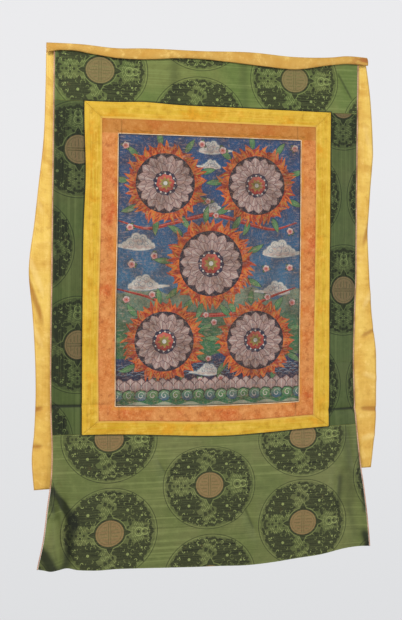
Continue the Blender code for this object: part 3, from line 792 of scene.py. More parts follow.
def golden(name, along_x):
    """The yellow silk, with its streaks across or down."""
    made = Finish(name, 0.5, sheen=0.03, specular=0.18)
    from_orange = made.outside(ORANGE_X, ORANGE_LOW, ORANGE_HIGH)
    streaks = made.noise(12, 420, 3) if along_x else made.noise(420, 12, 3)
    bands = made.noise(4, 110, 2, shift=2.0) if along_x else made.noise(110, 4, 2, shift=2.0)
    clouds = made.noise(28, 28, 4, shift=1.5)
    specks = made.noise(420, 420, 3, 0.6, shift=6.0)
    tone = made.layers(shade(212, 168, 52), (
        (clouds.between(0.36, 0.66), (198, 146, 28)),
        (bands.between(0.44, 0.62) * 0.55, (198, 164, 38)),
        (streaks.between(0.42, 0.66) * 0.45, (228, 192, 84)),
        (made.noise(18, 18, 3, shift=4.0).between(0.55, 0.70) * 0.7, (216, 150, 30)),
        (made.noise(60, 60, 5, 0.7, 9.0).between(0.56, 0.72) * 0.45, (160, 124, 36)),
        (specks.between(0.56, 0.72) * 0.4, (176, 136, 34))))
    tone = made.mottle(tone, 55, (172, 124, 22), (234, 198, 88), 0.45)
    tone = made.layers(tone, (
        ((1 - from_orange.between(0.002, 0.0055)) * 0.5, (222, 178, 94)),
        # painted highlight along the strip's outer edge
        (from_orange.between(0.026, 0.029) * 0.3, (226, 188, 60)),
        (made.stitches(YELLOW_STITCHES) * 0.35, (170, 120, 36))))
    made.surface(tone, 0.46 + streaks.between(0.3, 0.7) * 0.2,
                 streaks * 1.0 + specks * 0.4 + made.weave(900, 900) * 0.4
                 - made.stitches(YELLOW_STITCHES) * 1.5, 0.00016)
    return made


def mitred(inner_x, outer_x, inner_z, outer_z):
    """The outline of a strip whose two ends are cut along the corner's diagonal."""
    return trace([(-outer_x + MITRE_GAP, outer_z), (outer_x - MITRE_GAP, outer_z),
                  (inner_x - MITRE_GAP, inner_z), (-inner_x + MITRE_GAP, inner_z)])


across = golden("yellow_silk_across", True)
upright = golden("yellow_silk_upright", False)
hidden = ORANGE_X - LAP
for name, high, edge_z, inner_z, run, flat in (
        ("top", 1, YELLOW_HIGH, ORANGE_HIGH - LAP, YELLOW_TOP, (0.544, 0.041)),
        ("bottom", -1, YELLOW_LOW, ORANGE_LOW + LAP, YELLOW_BOTTOM, (0.544, 0.038))):
    reach = YELLOW_X - abs(inner_z - edge_z) * YELLOW_SIDE / run
    strip = sheet("yellow_strip_" + name, mitred(reach, YELLOW_X, inner_z, edge_z), 1,
                  STRIP_STEP)
    dress(strip, across, "yellow_" + name)
    "ground_" + name
    (reach + YELLOW_X) * abs(inner_z - edge_z)
for name, sign in (("left", -1), ("right", 1)):
    drop_high = (YELLOW_X - hidden) * YELLOW_TOP / YELLOW_SIDE
    drop_low = (YELLOW_X - hidden) * YELLOW_BOTTOM / YELLOW_SIDE
    outline = trace([(sign * YELLOW_X, YELLOW_LOW + MITRE_GAP), (sign * YELLOW_X, YELLOW_HIGH - MITRE_GAP),
                     (sign * hidden, YELLOW_HIGH - drop_high - MITRE_GAP),
                     (sign * hidden, YELLOW_LOW + drop_low + MITRE_GAP)])
    strip = sheet("yellow_strip_" + name, outline, 1, STRIP_STEP)
    dress(strip, upright, "yellow_" + name)
    "ground_" + name
    (YELLOW_X - hidden) * (YELLOW_HIGH - YELLOW_LOW - (drop_high + drop_low) / 2)

# ---------------------------------------------------------------------------------------------
# The ground: green silk damask with round medallions, in four panels. The foot is cut wide and
# flares. The side panels are the same cloth turned a quarter, so they catch less light.
FOOT_CORNER = -1.084
GROUND_STEP = 0.004         # between the points of a panel's mesh
CROWN_POINTS, PANEL_POINTS, FLARE_POINTS, FOOT_POINTS = 200, 180, 70, 220       # along each edge
SHOULDER_POINTS = 30        # beside the top panel
EDGE_CLEAR = 0.0045         # from the top of the veil down to the ground's own top edge
TOP_EDGE = (                # x, z
    (-0.353, -0.0020), (-0.279, -0.0015), (-0.204, -0.0050), (-0.153, -0.0020), (-0.023, 0.0),
    (0.084, 0.0040), (0.194, 0.0), (0.279, 0.0047), (0.307, 0.0086), (0.360, 0.0080))
GROUND_SIDES = (            # z, left x, right x
    (0.020, -0.334, 0.336), (-0.440, -0.3355, 0.335), (-0.780, -0.335, 0.3345),
    (-0.845, -0.3325, 0.3407), (-0.904, -0.3342, 0.346), (-0.962, -0.3423, 0.3511),
    (-1.025, -0.3497, 0.3584), (-1.084, -0.3615, 0.3646))
GROUND_FOOT = (             # x, z
    (-0.3615, -1.0845), (-0.296, -1.0905), (-0.197, -1.0955), (-0.095, -1.1010), (0.009, -1.1050),
    (0.090, -1.1080), (0.144, -1.1055), (0.199, -1.1010), (0.255, -1.0960), (0.311, -1.0865),
    (0.3646, -1.0835))
MEDALLION_WIDE, MEDALLION_TALL = 102, 94        # half sizes, in millimetres
TOP_CENTRES = ((-241, -53), (-26, -149), (-26, 51), (188, -51), (403, -149))
FOOT_CENTRES = ((-215, -823), (-215, -1020), (0, -931), (1, -1129), (213, -831), (210, -1023),
                (-430, -933), (-430, -1133), (430, -933), (430, -1133))
LEFT_CENTRES = ((-286, -220), (-283, -627), (-384, -423), (-384, -830), (-384, -16))
RIGHT_CENTRES = ((303, -100), (307, -514), (407, -305), (207, -305), (407, -725), (207, -725))


def through(points, at, column=1):
    """The value at `at` of a smooth curve through the points, level past its ends."""
    rows = np.array(sorted(points))
    keys, values = rows[:, 0], rows[:, column]
    slopes = np.gradient(values, keys)
    at = np.clip(at, keys[0], keys[-1])
    k = np.clip(np.searchsorted(keys, at) - 1, 0, len(keys) - 2)
    span = keys[k + 1] - keys[k]
    t = (at - keys[k]) / span
    start = values[k] * (1 + 2 * t) * (1 - t) ** 2 + slopes[k] * span * t * (1 - t) ** 2
    return start + values[k + 1] * t * t * (3 - 2 * t) - slopes[k + 1] * span * t * t * (1 - t)


def side(z, right):
    return through(GROUND_SIDES, z, 2 if right else 1)


def woven_motif():
    """A medallion's parts from the bottom up, in millimetres from its centre, with the share of dark
    figure, light thread and gold thread in each. Its lower half mirrors its upper half."""
    random.seed(5)
    parts = []

    def woven(outline, *shares):
        parts.append((outline, shares))

    def both(outline, *shares):
        woven(outline, *shares)
        woven([(x, -z) for x, z in outline][::-1], *shares)

    def peony(x, z, radius, leaves):
        """A ragged dark flower with broken light veins and a light heart."""
        for k in range(leaves):
            angle = 2 * math.pi * (k + random.uniform(0, 0.6)) / leaves
            both(petal(x, z, radius * 0.6, radius * random.uniform(1.1, 1.4), angle, radius * 0.19, 0.9,
                       random.uniform(-0.3, 0.3), 4), 1.0, 0, 0)
        rim = [polar(x, z, radius * random.uniform(0.86, 1.1) * (1 if k % 2 else 0.86),
                     2 * math.pi * k / 40) for k in range(40)]
        both(rim, 1.0, 0, 0)
        for k in range(int(radius * 0.3)):
            place = polar(x, z, radius * random.uniform(0.35, 0.9), random.uniform(0, 2 * math.pi))
            both(stroke(curl(*place, radius * 0.2, random.uniform(0, 6), 0.5, 5), 1.6), 0.4, 0.3, 0)
        both(rounded(x, z, min(3.2, radius * 0.17), points=10), 0.1, 0.8, 0)

    tall = MEDALLION_TALL / MEDALLION_WIDE
    woven(rounded(0, 0, MEDALLION_WIDE, points=110, tall=tall), 0.80, 0, 0)
    woven(rounded(0, 0, MEDALLION_WIDE - 1.8, points=110, tall=tall), 0.04, 0.12, 0)
    woven(rounded(0, 0, MEDALLION_WIDE - 6, 44, 0.02, points=132, tall=tall), 0.45, 0.05, 0)
    for k in range(260):
        radius, angle = 6.0 * math.sqrt(k + 0.6), k * 2.39996
        x, z = radius * math.cos(angle), radius * math.sin(angle) * tall
        if z < 2 or radius < 36 or radius > 93:
            continue
        if k % 3 == 0:
            both(petal(x, z, -5, 5, angle * 3, 2.6, 0.9, points=4), 1.0, 0, 0)
        elif radius > 78 or min(abs(x), abs(z)) < 20:
            zigzag = [(x + 2.4 * j, z + (2.6 if j % 2 else -2.6)) for j in range(-2, 3)]
            both(stroke(zigzag, 1.6), 0.0, 1.0, 0)
    for x, z, radius, leaves in ((38, 46, 25, 12), (-46, 42, 25, 11), (-26, 72, 11, 8), (68, 34, 14, 9),
                                 (46, 70, 10, 7), (-72, 30, 11, 8), (-52, 66, 10, 7), (18, 66, 8, 6)):
        peony(x, z, radius, leaves)
    for x, z, length, angle in ((62, 54, 15, 0.5), (14, 44, 12, 3.4), (-30, 22, 12, 5.5),
                                (-14, 58, 11, 0.4), (82, 16, 12, 1.3), (2, 72, 12, 0.2)):
        both(petal(x, z, 0, length, angle, 3.6, 0.9, 0.3), 1.0, 0, 0)
    for angle in np.linspace(0.02, math.pi - 0.02, 58):
        x, z = polar(0, 0, random.uniform(86, 92), angle)
        both(petal(x, z * tall, -4, random.uniform(3, 6), angle + random.uniform(-1.2, 1.2), 3.0, 0.9,
                   points=4), 1.0, 0, 0)
    for angle in np.linspace(0.25, 2.9, 14):
        x, z = 86 * math.cos(angle), 86 * tall * math.sin(angle)
        both(stroke(curl(x, z, 4.5, angle * 4, 0.6, 6), 1.6), 0.0, 0.9, 0)
    for z, size in ((56, 5.0), (76, 3.6)):
        both([(-size, z), (0, z - size), (size, z), (0, z + size)], 0.95, 0, 0)
    for x, reach in ((62, 9), (74, 7)):
        both(stroke([(x + reach * math.cos(a), reach * math.sin(a)) for a in np.linspace(0, 3.14, 9)],
                    2.0), 0.0, 1.0, 0)
    for x, z, size in ((60.7, 0, 3.2), (72, 0, 2.6), (82, 0, 2.2), (-70, 0, 3.0), (-54, 0, 2.8),
                       (-62, 6, 2.8), (-62, -6, 2.8), (-78, 0, 2.6)):
        woven(rounded(x, z, size, points=10), 1.0, 0, 0)
    for angle, reach in ((0.0, 46), (math.pi / 2, 43), (math.pi, 46), (-math.pi / 2, 43)):
        woven(petal(0, 0, 14, reach + 2, angle, 9.0, 0.8), 0.3, 0.35, 0)
    woven(rounded(0, 0, 36.5, points=48, tall=0.9), 0.3, 0.35, 0)
    for angle, reach in ((0.0, 46), (math.pi / 2, 43), (math.pi, 46), (-math.pi / 2, 43)):
        woven(petal(0, 0, 14, reach, angle, 7.5, 0.8), 1.0, 0, 0)
    woven(rounded(0, 0, 34.5, points=48, tall=0.9), 1.0, 0, 0)
    woven(rounded(0, 0, 30, points=48, tall=0.9), 0, 0, 1.0)
    woven(rounded(0, 0, 26.5, points=44, tall=0.9), 0.55, 0, 0.5)
    woven(rounded(0, 0, 25, points=44, tall=0.9), 0, 0, 1.0)
    for x in (-2.4, 2.4):
        woven([(x - 0.9, -22), (x + 0.9, -22), (x + 0.9, 22), (x - 0.9, 22)], 0.6, 0, 0.4)
    for z, run in ((14, 13), (7, 18), (0, 21), (-7, 18), (-14, 13)):
        for sign in (-1, 1):
            woven([(sign * 5.5, z - 0.9), (sign * run, z - 0.9), (sign * run, z + 0.9),
                   (sign * 5.5, z + 0.9)], 0.55, 0, 0.45)
    return parts


motif = woven_motif()


def medallions(centres, turned=False):
    """The motif at each centre; turned, it lies on its side."""
    figures = []
    for x0, z0 in centres:
        for outline, shares in motif:
            places = [(x0 - z, z0 + x) if turned else (x0 + x, z0 + z) for x, z in outline]
            figures.append({"outline": [(x * MM, z * MM) for x, z in places], "tone": shares})
    return figures


def damask(name, plain, plain_warm, dark, light, gold, turned=False):
    """The green silk: marks give its figure, and the weft shows as fine streaks."""
    made = Finish(name, 0.48, sheen=0.02, specular=0.2)
    marks_here = made.attribute("marks", "Color")
    shares = [made.node("SeparateColor", {}, {0: marks_here}, k) for k in range(3)]
    streaks = made.noise(1100, 7, 3) if turned else made.noise(7, 1100, 3)
    bars = made.noise(150, 3, 2, shift=3.0) if turned else made.noise(3, 150, 2, shift=3.0)
    ragged = made.noise(640, 640, 2, 0.6, shift=6.0)
    sprigs = made.noise(300, 300, 3, 0.7, shift=12.0)
    grain = made.noise(1000, 150, 3, 0.6, shift=5.0)
    # painted shadow: the ground darkened in a narrow band round the yellow strips' outer edges, where the
    # strips stand proud of it
    strip_shadow = 1 - made.outside(YELLOW_X, YELLOW_LOW, YELLOW_HIGH).between(0.0012, 0.0050)
    soiling_and_fold_shading = made.attribute("soiling_and_fold_shading")
    tone = made.layers(shade(*plain), (
        (made.noise(9, 9, 4, shift=1.0).between(0.40, 0.64), plain_warm),
        (bars.between(0.50, 0.68) * 0.35, light)))
    tone = made.mottle(tone, 60, dark, light, 0.16)
    tone = made.layers(tone, (
        (shares[0] * (0.86 + ragged * 0.3), dark),
        (shares[0] * sprigs.between(0.57, 0.66) * 0.22, light),
        (shares[1] * ragged.between(0.16, 0.46), light),
        (shares[2] * (0.75 + streaks * 0.4), gold),
        (shares[2] * grain.between(0.46, 0.62) * 0.35, dark),
        (streaks.between(0.40, 0.62) * 0.20, light),
        (made.noise(40, 40, 5, 0.7, shift=8.0).between(0.60, 0.76) * 0.35, (96, 78, 44)),
        ((1 - made.attribute("edge").between(0.0006, 0.0022)) * 0.30, light),
        # painted shadow of the yellow strips' edges
        (strip_shadow * 0.75, (26, 25, 15)),
        # painted shade in folds and creases and where the cloth turns away; painted highlight on ridges
        (soiling_and_fold_shading.between(0.05, 0.95) * 0.85, (24, 28, 22)),
        ((0 - soiling_and_fold_shading).between(0.05, 0.60) * 0.5, light)))
    made.surface(tone, 0.42 + shares[0] * 0.2 + streaks * 0.1,
                 streaks * 0.8 + ragged * 0.3 - shares[0] * 0.5 + shares[2] * 0.5, 0.00012)
    return made


plain_green = damask("green_damask", (92, 110, 54), (108, 116, 62), (36, 39, 24), (136, 150, 88),
                     (130, 110, 72))
foot_green = damask("green_damask_foot", (91, 101, 54), (104, 108, 64), (34, 37, 24), (140, 150, 90),
                    (138, 108, 72))
# the turned panels' colours are painted darker: painted shade for the lesser sheen of the turned weave
side_green = damask("green_damask_turned", (68, 82, 42), (76, 84, 46), (20, 25, 16), (104, 116, 68),
                    (114, 93, 64), turned=True)

foot_high = YELLOW_LOW + LAP
hidden = YELLOW_X - LAP
left_high = float(through(TOP_EDGE, side(0.0, False))) - EDGE_CLEAR
right_high = float(through(TOP_EDGE, side(0.0, True))) - EDGE_CLEAR
crown = [(x, float(through(TOP_EDGE, x)) - EDGE_CLEAR)
         for x in np.linspace(float(side(0.0, False)), float(side(0.0, True)), CROWN_POINTS)]
top_outline = ([(hidden, YELLOW_HIGH - LAP), (hidden, YELLOW_HIGH)]
               + [(float(side(z, True)), z)
                  for z in np.linspace(YELLOW_HIGH, right_high, SHOULDER_POINTS)[:-1]]
               + crown[::-1]
               + [(float(side(z, False)), z)
                  for z in np.linspace(left_high, YELLOW_HIGH, SHOULDER_POINTS)[1:]]
               + [(-hidden, YELLOW_HIGH), (-hidden, YELLOW_HIGH - LAP)])


def ground_side_outline(right):
    sign = 1 if right else -1
    seam_x = sign * (hidden + SEAM)
    high, low = YELLOW_HIGH - SEAM, YELLOW_LOW + SEAM
    rows = [(float(side(z, right)), float(z)) for z in np.linspace(low, high, PANEL_POINTS)]
    return [(seam_x, high), (seam_x, low)] + rows


def foot_edge(right):
    """The foot's side edge, from the seam down to its corner."""
    drop = np.linspace(0, 1, FLARE_POINTS)
    z = YELLOW_LOW + (FOOT_CORNER - YELLOW_LOW) * drop
    return [(float(side(height, right)), float(height)) for height in z]


foot_right, foot_left = GROUND_FOOT[-1][0], GROUND_FOOT[0][0]
foot_outline = ([(-hidden, YELLOW_LOW), (-hidden, foot_high), (hidden, foot_high), (hidden, YELLOW_LOW)]
                + foot_edge(True)
                + [(x, float(through(GROUND_FOOT, x)))
                   for x in np.linspace(foot_right, foot_left, FOOT_POINTS)[1:-1]]
                + foot_edge(False)[::-1])

for name, outline, finish, centres, turned, flat, area, carried in (
        ("top", trace(top_outline), plain_green, TOP_CENTRES, False, (0.669, 0.129), 0.0800, "veil"),
        ("left", trace(ground_side_outline(False)), side_green, LEFT_CENTRES, True, (0.070, 0.690), None,
         "ground_top"),
        ("right", trace(ground_side_outline(True)), side_green, RIGHT_CENTRES, True, (0.068, 0.690),
         None, "ground_top"),
        ("bottom", trace(foot_outline), foot_green, FOOT_CENTRES, False, (0.733, 0.308), 0.204,
         "ground_left")):
    panel = sheet("ground_panel_" + name, outline, 0, GROUND_STEP, medallions(centres, turned))
    dress(panel, finish, "ground_" + name)

# ---------------------------------------------------------------------------------------------
# The bindings: a narrow pinkish tape along each side edge of the ground, with its row of stitches.
# Each runs in one length from the top edge to the foot's corner.
BINDING_WIDTH, BINDING_THICK = 0.0024, 0.0014
BINDING_ROWS, BINDING_SIDES = 340, 10
STITCH = 0.0036
BINDING_SWELL, SWELL_LENGTH = 0.05, 0.0108      # the thick places between its tacks
SQUARED = 0.7               # under 1, the round section gets flatter sides

tape = Finish("pink_tape", 0.7, sheen=0.02)
soiling_and_fold_shading = tape.noise(30, 30, 4).between(0.40, 0.66)
stitches = tape.z.wave(STITCH)
tone = tape.layers(shade(214, 172, 148), ((soiling_and_fold_shading * 0.8, (150, 104, 74)),
                                          (stitches.between(0.3, 0.6) * 0.35, (112, 74, 52))))
tape.surface(tone, 0.65 + soiling_and_fold_shading * 0.1, stitches + tape.noise(1500, 1500, 1), 0.0001)


def finished(bm, name):
    """Turns a piece's bmesh into an object in the scene."""
    mesh = bpy.data.meshes.new(name)
    bm.to_mesh(mesh)
    bm.free()
    return add(name, mesh)


for name, right in (("left", False), ("right", True)):
    sign = 1 if right else -1
    top_z = right_high if right else left_high
    foot_z = float(through(GROUND_FOOT, side(FOOT_CORNER, right)))
    z = np.linspace(top_z, foot_z, BINDING_ROWS)
    edge = side(z, right)
    middle_x = edge + sign * (SEAM + BINDING_WIDTH / 2)
    middle_y = -hang(edge, z) - CLOTH / 2
    puckers = 1 + BINDING_SWELL * np.sin(z * 2 * math.pi / SWELL_LENGTH)
    bm = bmesh.new()
    ring = bmesh.ops.create_circle(bm, segments=BINDING_SIDES, radius=1, cap_ends=True)["verts"]
    for vert in ring:
        vert.co = (math.copysign(abs(vert.co.x) ** SQUARED, vert.co.x) * BINDING_WIDTH / 2,
                   vert.co.y * BINDING_THICK / 2, 0)
    section = [vert.co.copy() for vert in ring]
    end = bm.faces[:]
    for k in range(len(z)):
        if k:
            made = bmesh.ops.extrude_face_region(bm, geom=end)["geom"]
            bmesh.ops.delete(bm, geom=end, context="FACES_ONLY")
            ring = [item for item in made if isinstance(item, bmesh.types.BMVert)]
            end = [item for item in made if isinstance(item, bmesh.types.BMFace)]
            ring.sort(key=lambda vert: min(range(BINDING_SIDES), key=lambda n: (vert.co - last[n]).length))
        for vert, offset in zip(ring, section):
            vert.co = (middle_x[k] + offset.x * puckers[k], middle_y[k] + offset.y * puckers[k], z[k])
        last = [vert.co.copy() for vert in ring]
    bmesh.ops.holes_fill(bm, edges=[item for item in bm.edges if item.is_boundary])
    bmesh.ops.recalc_face_normals(bm, faces=bm.faces)
    binding = finished(bm, "side_binding_" + name)
    binding.data.shade_smooth()
    dress(binding, tape, "binding_" + name)

# ---------------------------------------------------------------------------------------------
# The veil: one sheet of thin yellow silk, thrown back over the top. Its front edge is turned under
# and shows as a strip; behind, it hangs down loose and shows beside the ground on both sides.
VEIL_THICK, VEIL_STAND = 0.001, 0.0035
LIP_EDGE = (                # x, z of the lower edge of the front strip
    (-0.353, -0.0230), (-0.328, -0.0170), (-0.304, -0.0155), (-0.254, -0.0210), (-0.204, -0.0260),
    (-0.127, -0.0240), (-0.075, -0.0185), (-0.023, -0.0176), (0.057, -0.0215), (0.111, -0.0250),
    (0.194, -0.0270), (0.250, -0.0170), (0.307, -0.0090), (0.360, -0.0100))
LIP_SECTION = (             # share of the strip's height, y, along the cloth
    (0.62, -0.0103), (0.30, -0.0103), (0.10, -0.0108), (0.01, -0.0122), (0.02, -0.0142),
    (0.20, -0.0166), (0.50, -0.0178), (0.78, -0.0166), (0.93, -0.0142), (0.985, -0.0112),
    (0.975, -0.0078), (0.90, -0.0054), (0.76, -0.0042))
VEIL_SIDES = (              # z, left x, right x
    (0.020, -0.352, 0.3545), (-0.100, -0.353, 0.371), (-0.200, -0.356, 0.377),
    (-0.300, -0.366, 0.370), (-0.370, -0.373, 0.366), (-0.470, -0.384, 0.369),
    (-0.560, -0.376, 0.376), (-0.635, -0.371, 0.385), (-0.750, -0.3685, 0.389),
    (-0.810, -0.371, 0.389), (-0.860, -0.375, 0.384), (-0.930, -0.370, 0.376))
VEIL_FOOT = ((-0.40, -0.927), (0.40, -0.914))
VEIL_FOLDS = (              # as the ground's
    (-0.395, -0.590, -0.350, -0.700, 0.018, 0.0025), (-0.390, -0.816, -0.350, -0.812, 0.010, 0.0020),
    (-0.390, -0.887, -0.350, -0.880, 0.010, 0.0022), (0.350, -0.310, 0.390, -0.400, 0.020, 0.0022),
    (0.350, -0.700, 0.395, -0.640, 0.020, 0.0025))
VEIL_CREASES = (
    (-0.392, -0.430, -0.350, -0.530, 0.007, 0.0026), (-0.390, -0.480, -0.350, -0.590, 0.007, -0.0022),
    (-0.388, -0.560, -0.350, -0.640, 0.006, 0.0022), (-0.385, -0.835, -0.345, -0.838, 0.006, -0.0022),
    (-0.385, -0.762, -0.345, -0.756, 0.006, -0.0024), (-0.388, -0.300, -0.350, -0.360, 0.008, 0.0020),
    (-0.372, -0.150, -0.352, -0.240, 0.007, -0.0018), (0.350, -0.420, 0.378, -0.350, 0.008, -0.0020),
    (0.348, -0.560, 0.388, -0.500, 0.008, 0.0022), (0.346, -0.780, 0.395, -0.784, 0.006, -0.0024),
    (0.348, -0.850, 0.392, -0.840, 0.008, 0.0022), (0.350, -0.620, 0.392, -0.600, 0.006, -0.0020),
    (0.350, -0.140, 0.376, -0.210, 0.008, 0.0018), (0.350, -0.700, 0.394, -0.715, 0.007, 0.0020),
    (-0.300, -0.250, 0.260, -0.262, 0.006, -0.0012), (-0.320, -0.500, 0.310, -0.492, 0.006, -0.0012),
    (-0.310, -0.745, 0.320, -0.752, 0.006, -0.0012), (-0.120, -0.300, -0.040, -0.640, 0.030, -0.0013),
    (0.160, -0.180, 0.080, -0.560, 0.034, -0.0012), (-0.250, -0.380, -0.200, -0.860, 0.028, -0.0013),
    (0.250, -0.420, 0.200, -0.880, 0.030, -0.0012), (0.010, -0.620, -0.020, -0.915, 0.026, -0.0012))
ACROSS, LIP_ROWS, BEHIND_ROWS = 150, 46, 184
HEM = 0.006
FREE_FROM, FREE_TO = 0.345, 0.362               # past the ground's edge the veil hangs free
RIPPLE, RIPPLE_LENGTH = 0.0016, 0.21
SLACK, SLACK_ACROSS, SLACK_DOWN = 0.0007, 0.19, 0.8         # a wide wave: rise and lengths
SWAYS = ((0.0006, 0.085, 0), (0.0004, 0.031, 1))            # the front strip's: rise, length, phase
FRONT_FROM, FRONT_TO = 0.0125, 0.0160           # how far out the strip starts to sway
LEAST_STAND = 0.0012        # from Y 0
CREASE_DEEP = 0.0024        # a trough as deep as this gets the full painted shade

stations = np.linspace(0, len(LIP_SECTION) - 1, LIP_ROWS)
lip_height, lip_y = [through([(k, *row) for k, row in enumerate(LIP_SECTION)], stations, column)
                     for column in (1, 2)]
shares = np.linspace(-1, 1, ACROSS + 1)
right = shares > 0
top_x = np.where(right, through(VEIL_SIDES, 0.0, 2), through(VEIL_SIDES, 0.0, 1)) * np.abs(shares)
high, low = through(TOP_EDGE, top_x), through(LIP_EDGE, top_x)
lip_z = low + (high - low) * lip_height[:, None] - VEIL_THICK / 2
drop = np.linspace(0, 1, BEHIND_ROWS + 1)[1:, None]
z = np.vstack([lip_z, lip_z[-1] + (through(VEIL_FOOT, top_x) - lip_z[-1]) * drop])
wide = np.where(right, through(VEIL_SIDES, z, 2), -through(VEIL_SIDES, z, 1))
x = wide * shares
loose = ease(np.abs(x), FREE_FROM, FREE_TO)
ripple = RIPPLE * (0.5 + 0.5 * np.sin(2 * np.pi * z / RIPPLE_LENGTH + x * 9))
depth = (VEIL_STAND + loose * (ripple + ridges(x, z, VEIL_FOLDS))
         + ridges(x, z, VEIL_CREASES) * ease(-z, 0.03, 0.08)
         + SLACK * np.sin(2 * np.pi * (x / SLACK_ACROSS + z / SLACK_DOWN)) * ease(-z, 0.05, 0.2))
depth = np.maximum(depth, LEAST_STAND)
sway = sum(rise * np.sin(top_x * 2 * np.pi / length + phase) for rise, length, phase in SWAYS)
front = ease(-lip_y, FRONT_FROM, FRONT_TO)[:, None] * sway
y = np.vstack([lip_y[:, None] + front, -depth[LIP_ROWS:]])
along = np.cumsum(np.vstack([np.zeros_like(x[:1]), np.hypot(np.diff(y, axis=0), np.diff(z, axis=0))]),
                  axis=0)
fold_row = int(np.argmin(lip_height))
along -= along[fold_row]

bm = bmesh.new()
bmesh.ops.create_grid(bm, x_segments=ACROSS, y_segments=len(x) - 1, size=1)
uv = bm.loops.layers.uv.new("cloth")
from_edge = bm.verts.layers.float.new("edge")
soiling_and_fold_shading = bm.verts.layers.float.new("soiling_and_fold_shading")
# painted shade in the veil creases' troughs, and painted highlight on their ridges where this is below 0
dirt_and_crease_shading = -ridges(x, z, VEIL_CREASES) * loose / CREASE_DEEP
for vert in bm.verts:
    i = round((vert.co.x + 1) / 2 * ACROSS)
    j = round((1 - vert.co.y) / 2 * (len(x) - 1))
    vert.co = (x[j, i], y[j, i], z[j, i])
    vert[from_edge] = min(wide[j, i] * (1 - abs(shares[i])), abs(along[-1, i] - along[j, i]))
    vert[soiling_and_fold_shading] = dirt_and_crease_shading[j, i]
    for loop in vert.link_loops:
        loop[uv].uv = (x[j, i], along[j, i])
bmesh.ops.recalc_face_normals(bm, faces=bm.faces)
veil = finished(bm, "veil_silk")
veil.data.shade_smooth()
thicken(veil, 0)

silk = Finish("veil_silk", 0.5, sheen=0.04, specular=0.18)
silk.place = silk.node("Mapping", {}, {0: silk.node("UVMap", {"uv_map": "cloth"}, {}),
                                       2: (math.pi / 2, 0, 0)})
silk.x, silk.z = silk.axes(silk.place)
clouds = silk.noise(14, 10, 4)
threads = silk.noise(5, 700, 3) + silk.noise(900, 6, 2, shift=2.0)
lip = 1 - silk.z.between(0.022, 0.040)
hem_line = 1 - abs(silk.z).between(0.0006, 0.0022)
rust = lip * silk.x.between(0.300, 0.350) * silk.noise(50, 120, 4, shift=5.0).between(0.42, 0.60)
dirt_and_crease_shading = silk.attribute("soiling_and_fold_shading")
hem = silk.attribute("edge")
tone = silk.layers(shade(232, 194, 94), (
    (clouds.between(0.38, 0.64), (218, 172, 74)),
    (threads.between(0.90, 1.20) * 0.4, (240, 206, 116)),
    (silk.z.between(0.45, 0.95) * 0.45, (214, 164, 78)),
    (lip * 0.85, (200, 155, 78)),
    (silk.noise(16, 34, 3, shift=12.0).between(0.50, 0.66) * 0.40, (204, 150, 62))))
tone = silk.mottle(tone, 45, (194, 140, 54), (246, 212, 126), 0.45)
tone = silk.layers(tone, (
    (hem_line * silk.noise(20, 2, 3, shift=1.0).between(0.36, 0.54) * 0.75, (104, 66, 36)),
    (rust * 0.75, (158, 84, 44)),
    (silk.noise(34, 34, 5, 0.7, 8.0).between(0.64, 0.76) * 0.35, (180, 128, 62)),
    # painted shade in crease troughs, painted highlight on crease ridges
    (dirt_and_crease_shading.between(0.12, 0.9) * 0.8, (168, 112, 44)),
    ((0 - dirt_and_crease_shading).between(0.15, 1.0) * 0.35, (250, 222, 148)),
    ((1 - hem.between(0.0, 0.003)) * 0.5, (190, 140, 80))))
silk.surface(tone, 0.4 + clouds * 0.15,
             threads * 0.6 + silk.weave(900, 900) * 0.4 - (1 - abs(hem - HEM).between(0.0, 0.0008)) * 1.5,
             0.00015)
dress(veil, silk, "veil")

# ---------------------------------------------------------------------------------------------
# The room: a plain pale floor below, soft light from the upper left, and a camera at the
# photograph's angle, a little left of the middle and level.
FLOOR_HALF, FLOOR_MIDDLE = (1.6, 1.5, 1), (0, -0.55, -1.75)
AIM = Vector((0, 0, -0.55))
AMBIENT = 0.42
FADE_LOW, FADE_HIGH = -0.40, 0.10               # heights between which the backdrop lightens
EYE = (-0.4407, -1.812, -0.4371)
TURN, ROLL = math.radians(13.1), math.radians(0.444)

bm = bmesh.new()
bmesh.ops.create_grid(bm, x_segments=1, y_segments=1, size=1)
bmesh.ops.scale(bm, vec=FLOOR_HALF, verts=bm.verts)
bmesh.ops.translate(bm, vec=FLOOR_MIDDLE, verts=bm.verts)
floor = finished(bm, "floor")
concrete = Finish("pale_floor", 0.8)
concrete.surface(concrete.blend(concrete.noise(4, 4, 4), (0.70, 0.70, 0.70), (0.76, 0.76, 0.755)),
                 0.8 + concrete.noise(8, 8, 2) * 0.05, concrete.noise(200, 200, 3), 0.0002)
floor.data.materials.append(concrete.material)

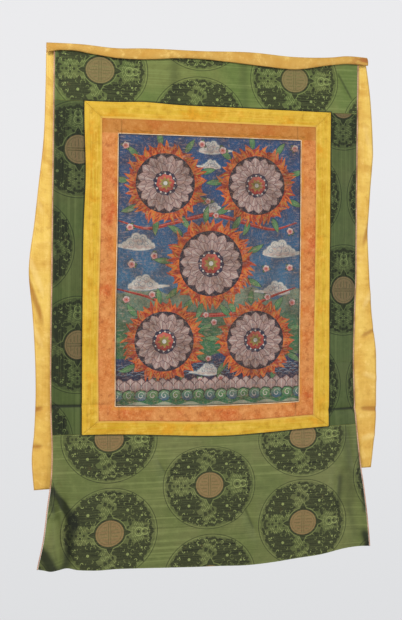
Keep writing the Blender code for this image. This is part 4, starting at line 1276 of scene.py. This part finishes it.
for name, place, size, power, warmth in (
        ("key", (-1.5, -2.3, 0.9), 1.0, 58, (1.0, 0.985, 0.96)),
        ("fill", (1.9, -2.4, -0.5), 1.6, 26, (0.96, 0.98, 1.0)),
        ("back", (-1.2, 2.3, 0.8), 1.4, 40, (1.0, 1.0, 1.0))):
    lamp = bpy.data.lights.new(name, "AREA")
    lamp.size = size
    lamp.energy = power
    lamp.color = warmth
    made = add(name, lamp)
    made.matrix_world = (Matrix.Translation(place)
                         @ (AIM - Vector(place)).to_track_quat("-Z", "Y").to_matrix().to_4x4())

world = bpy.data.worlds.new("room")
world.use_nodes = True
bpy.context.scene.world = world
nodes, links = world.node_tree.nodes, world.node_tree.links
seen = nodes.new("ShaderNodeLightPath")
mix = nodes.new("ShaderNodeMixShader")
ambient = nodes["Background"]
ambient.inputs["Color"].default_value = (1.0, 1.0, 1.0, 1)
ambient.inputs["Strength"].default_value = AMBIENT
backdrop = nodes.new("ShaderNodeBackground")
height = nodes.new("ShaderNodeSeparateXYZ")
across = nodes.new("ShaderNodeTexCoord")
climb = nodes.new("ShaderNodeMapRange")
climb.inputs["From Min"].default_value = FADE_LOW
climb.inputs["From Max"].default_value = FADE_HIGH
fade = nodes.new("ShaderNodeMix")
fade.data_type = "RGBA"
fade.inputs[6].default_value = (*shade(222, 223, 225), 1)
fade.inputs[7].default_value = (*shade(235, 235, 237), 1)
for start, end in ((across.outputs["Generated"], height.inputs[0]),
                   (height.outputs[2], climb.inputs["Value"]), (climb.outputs[0], fade.inputs[0]),
                   (fade.outputs[2], backdrop.inputs["Color"]),
                   (seen.outputs["Is Camera Ray"], mix.inputs["Fac"]),
                   (ambient.outputs[0], mix.inputs[1]), (backdrop.outputs[0], mix.inputs[2]),
                   (mix.outputs[0], nodes["World Output"].inputs["Surface"])):
    links.new(start, end)

lens = bpy.data.cameras.new("camera")
lens.lens = 50
lens.sensor_width = 36
lens.shift_y = -0.0895
camera = add("camera", lens)
camera.matrix_world = (Matrix.Translation(EYE) @ Matrix.Rotation(-TURN, 4, "Z")
                       @ Matrix.Rotation(math.pi / 2, 4, "X") @ Matrix.Rotation(ROLL, 4, "Z"))
bpy.context.scene.camera = camera
bpy.context.scene.view_settings.view_transform = "Standard"
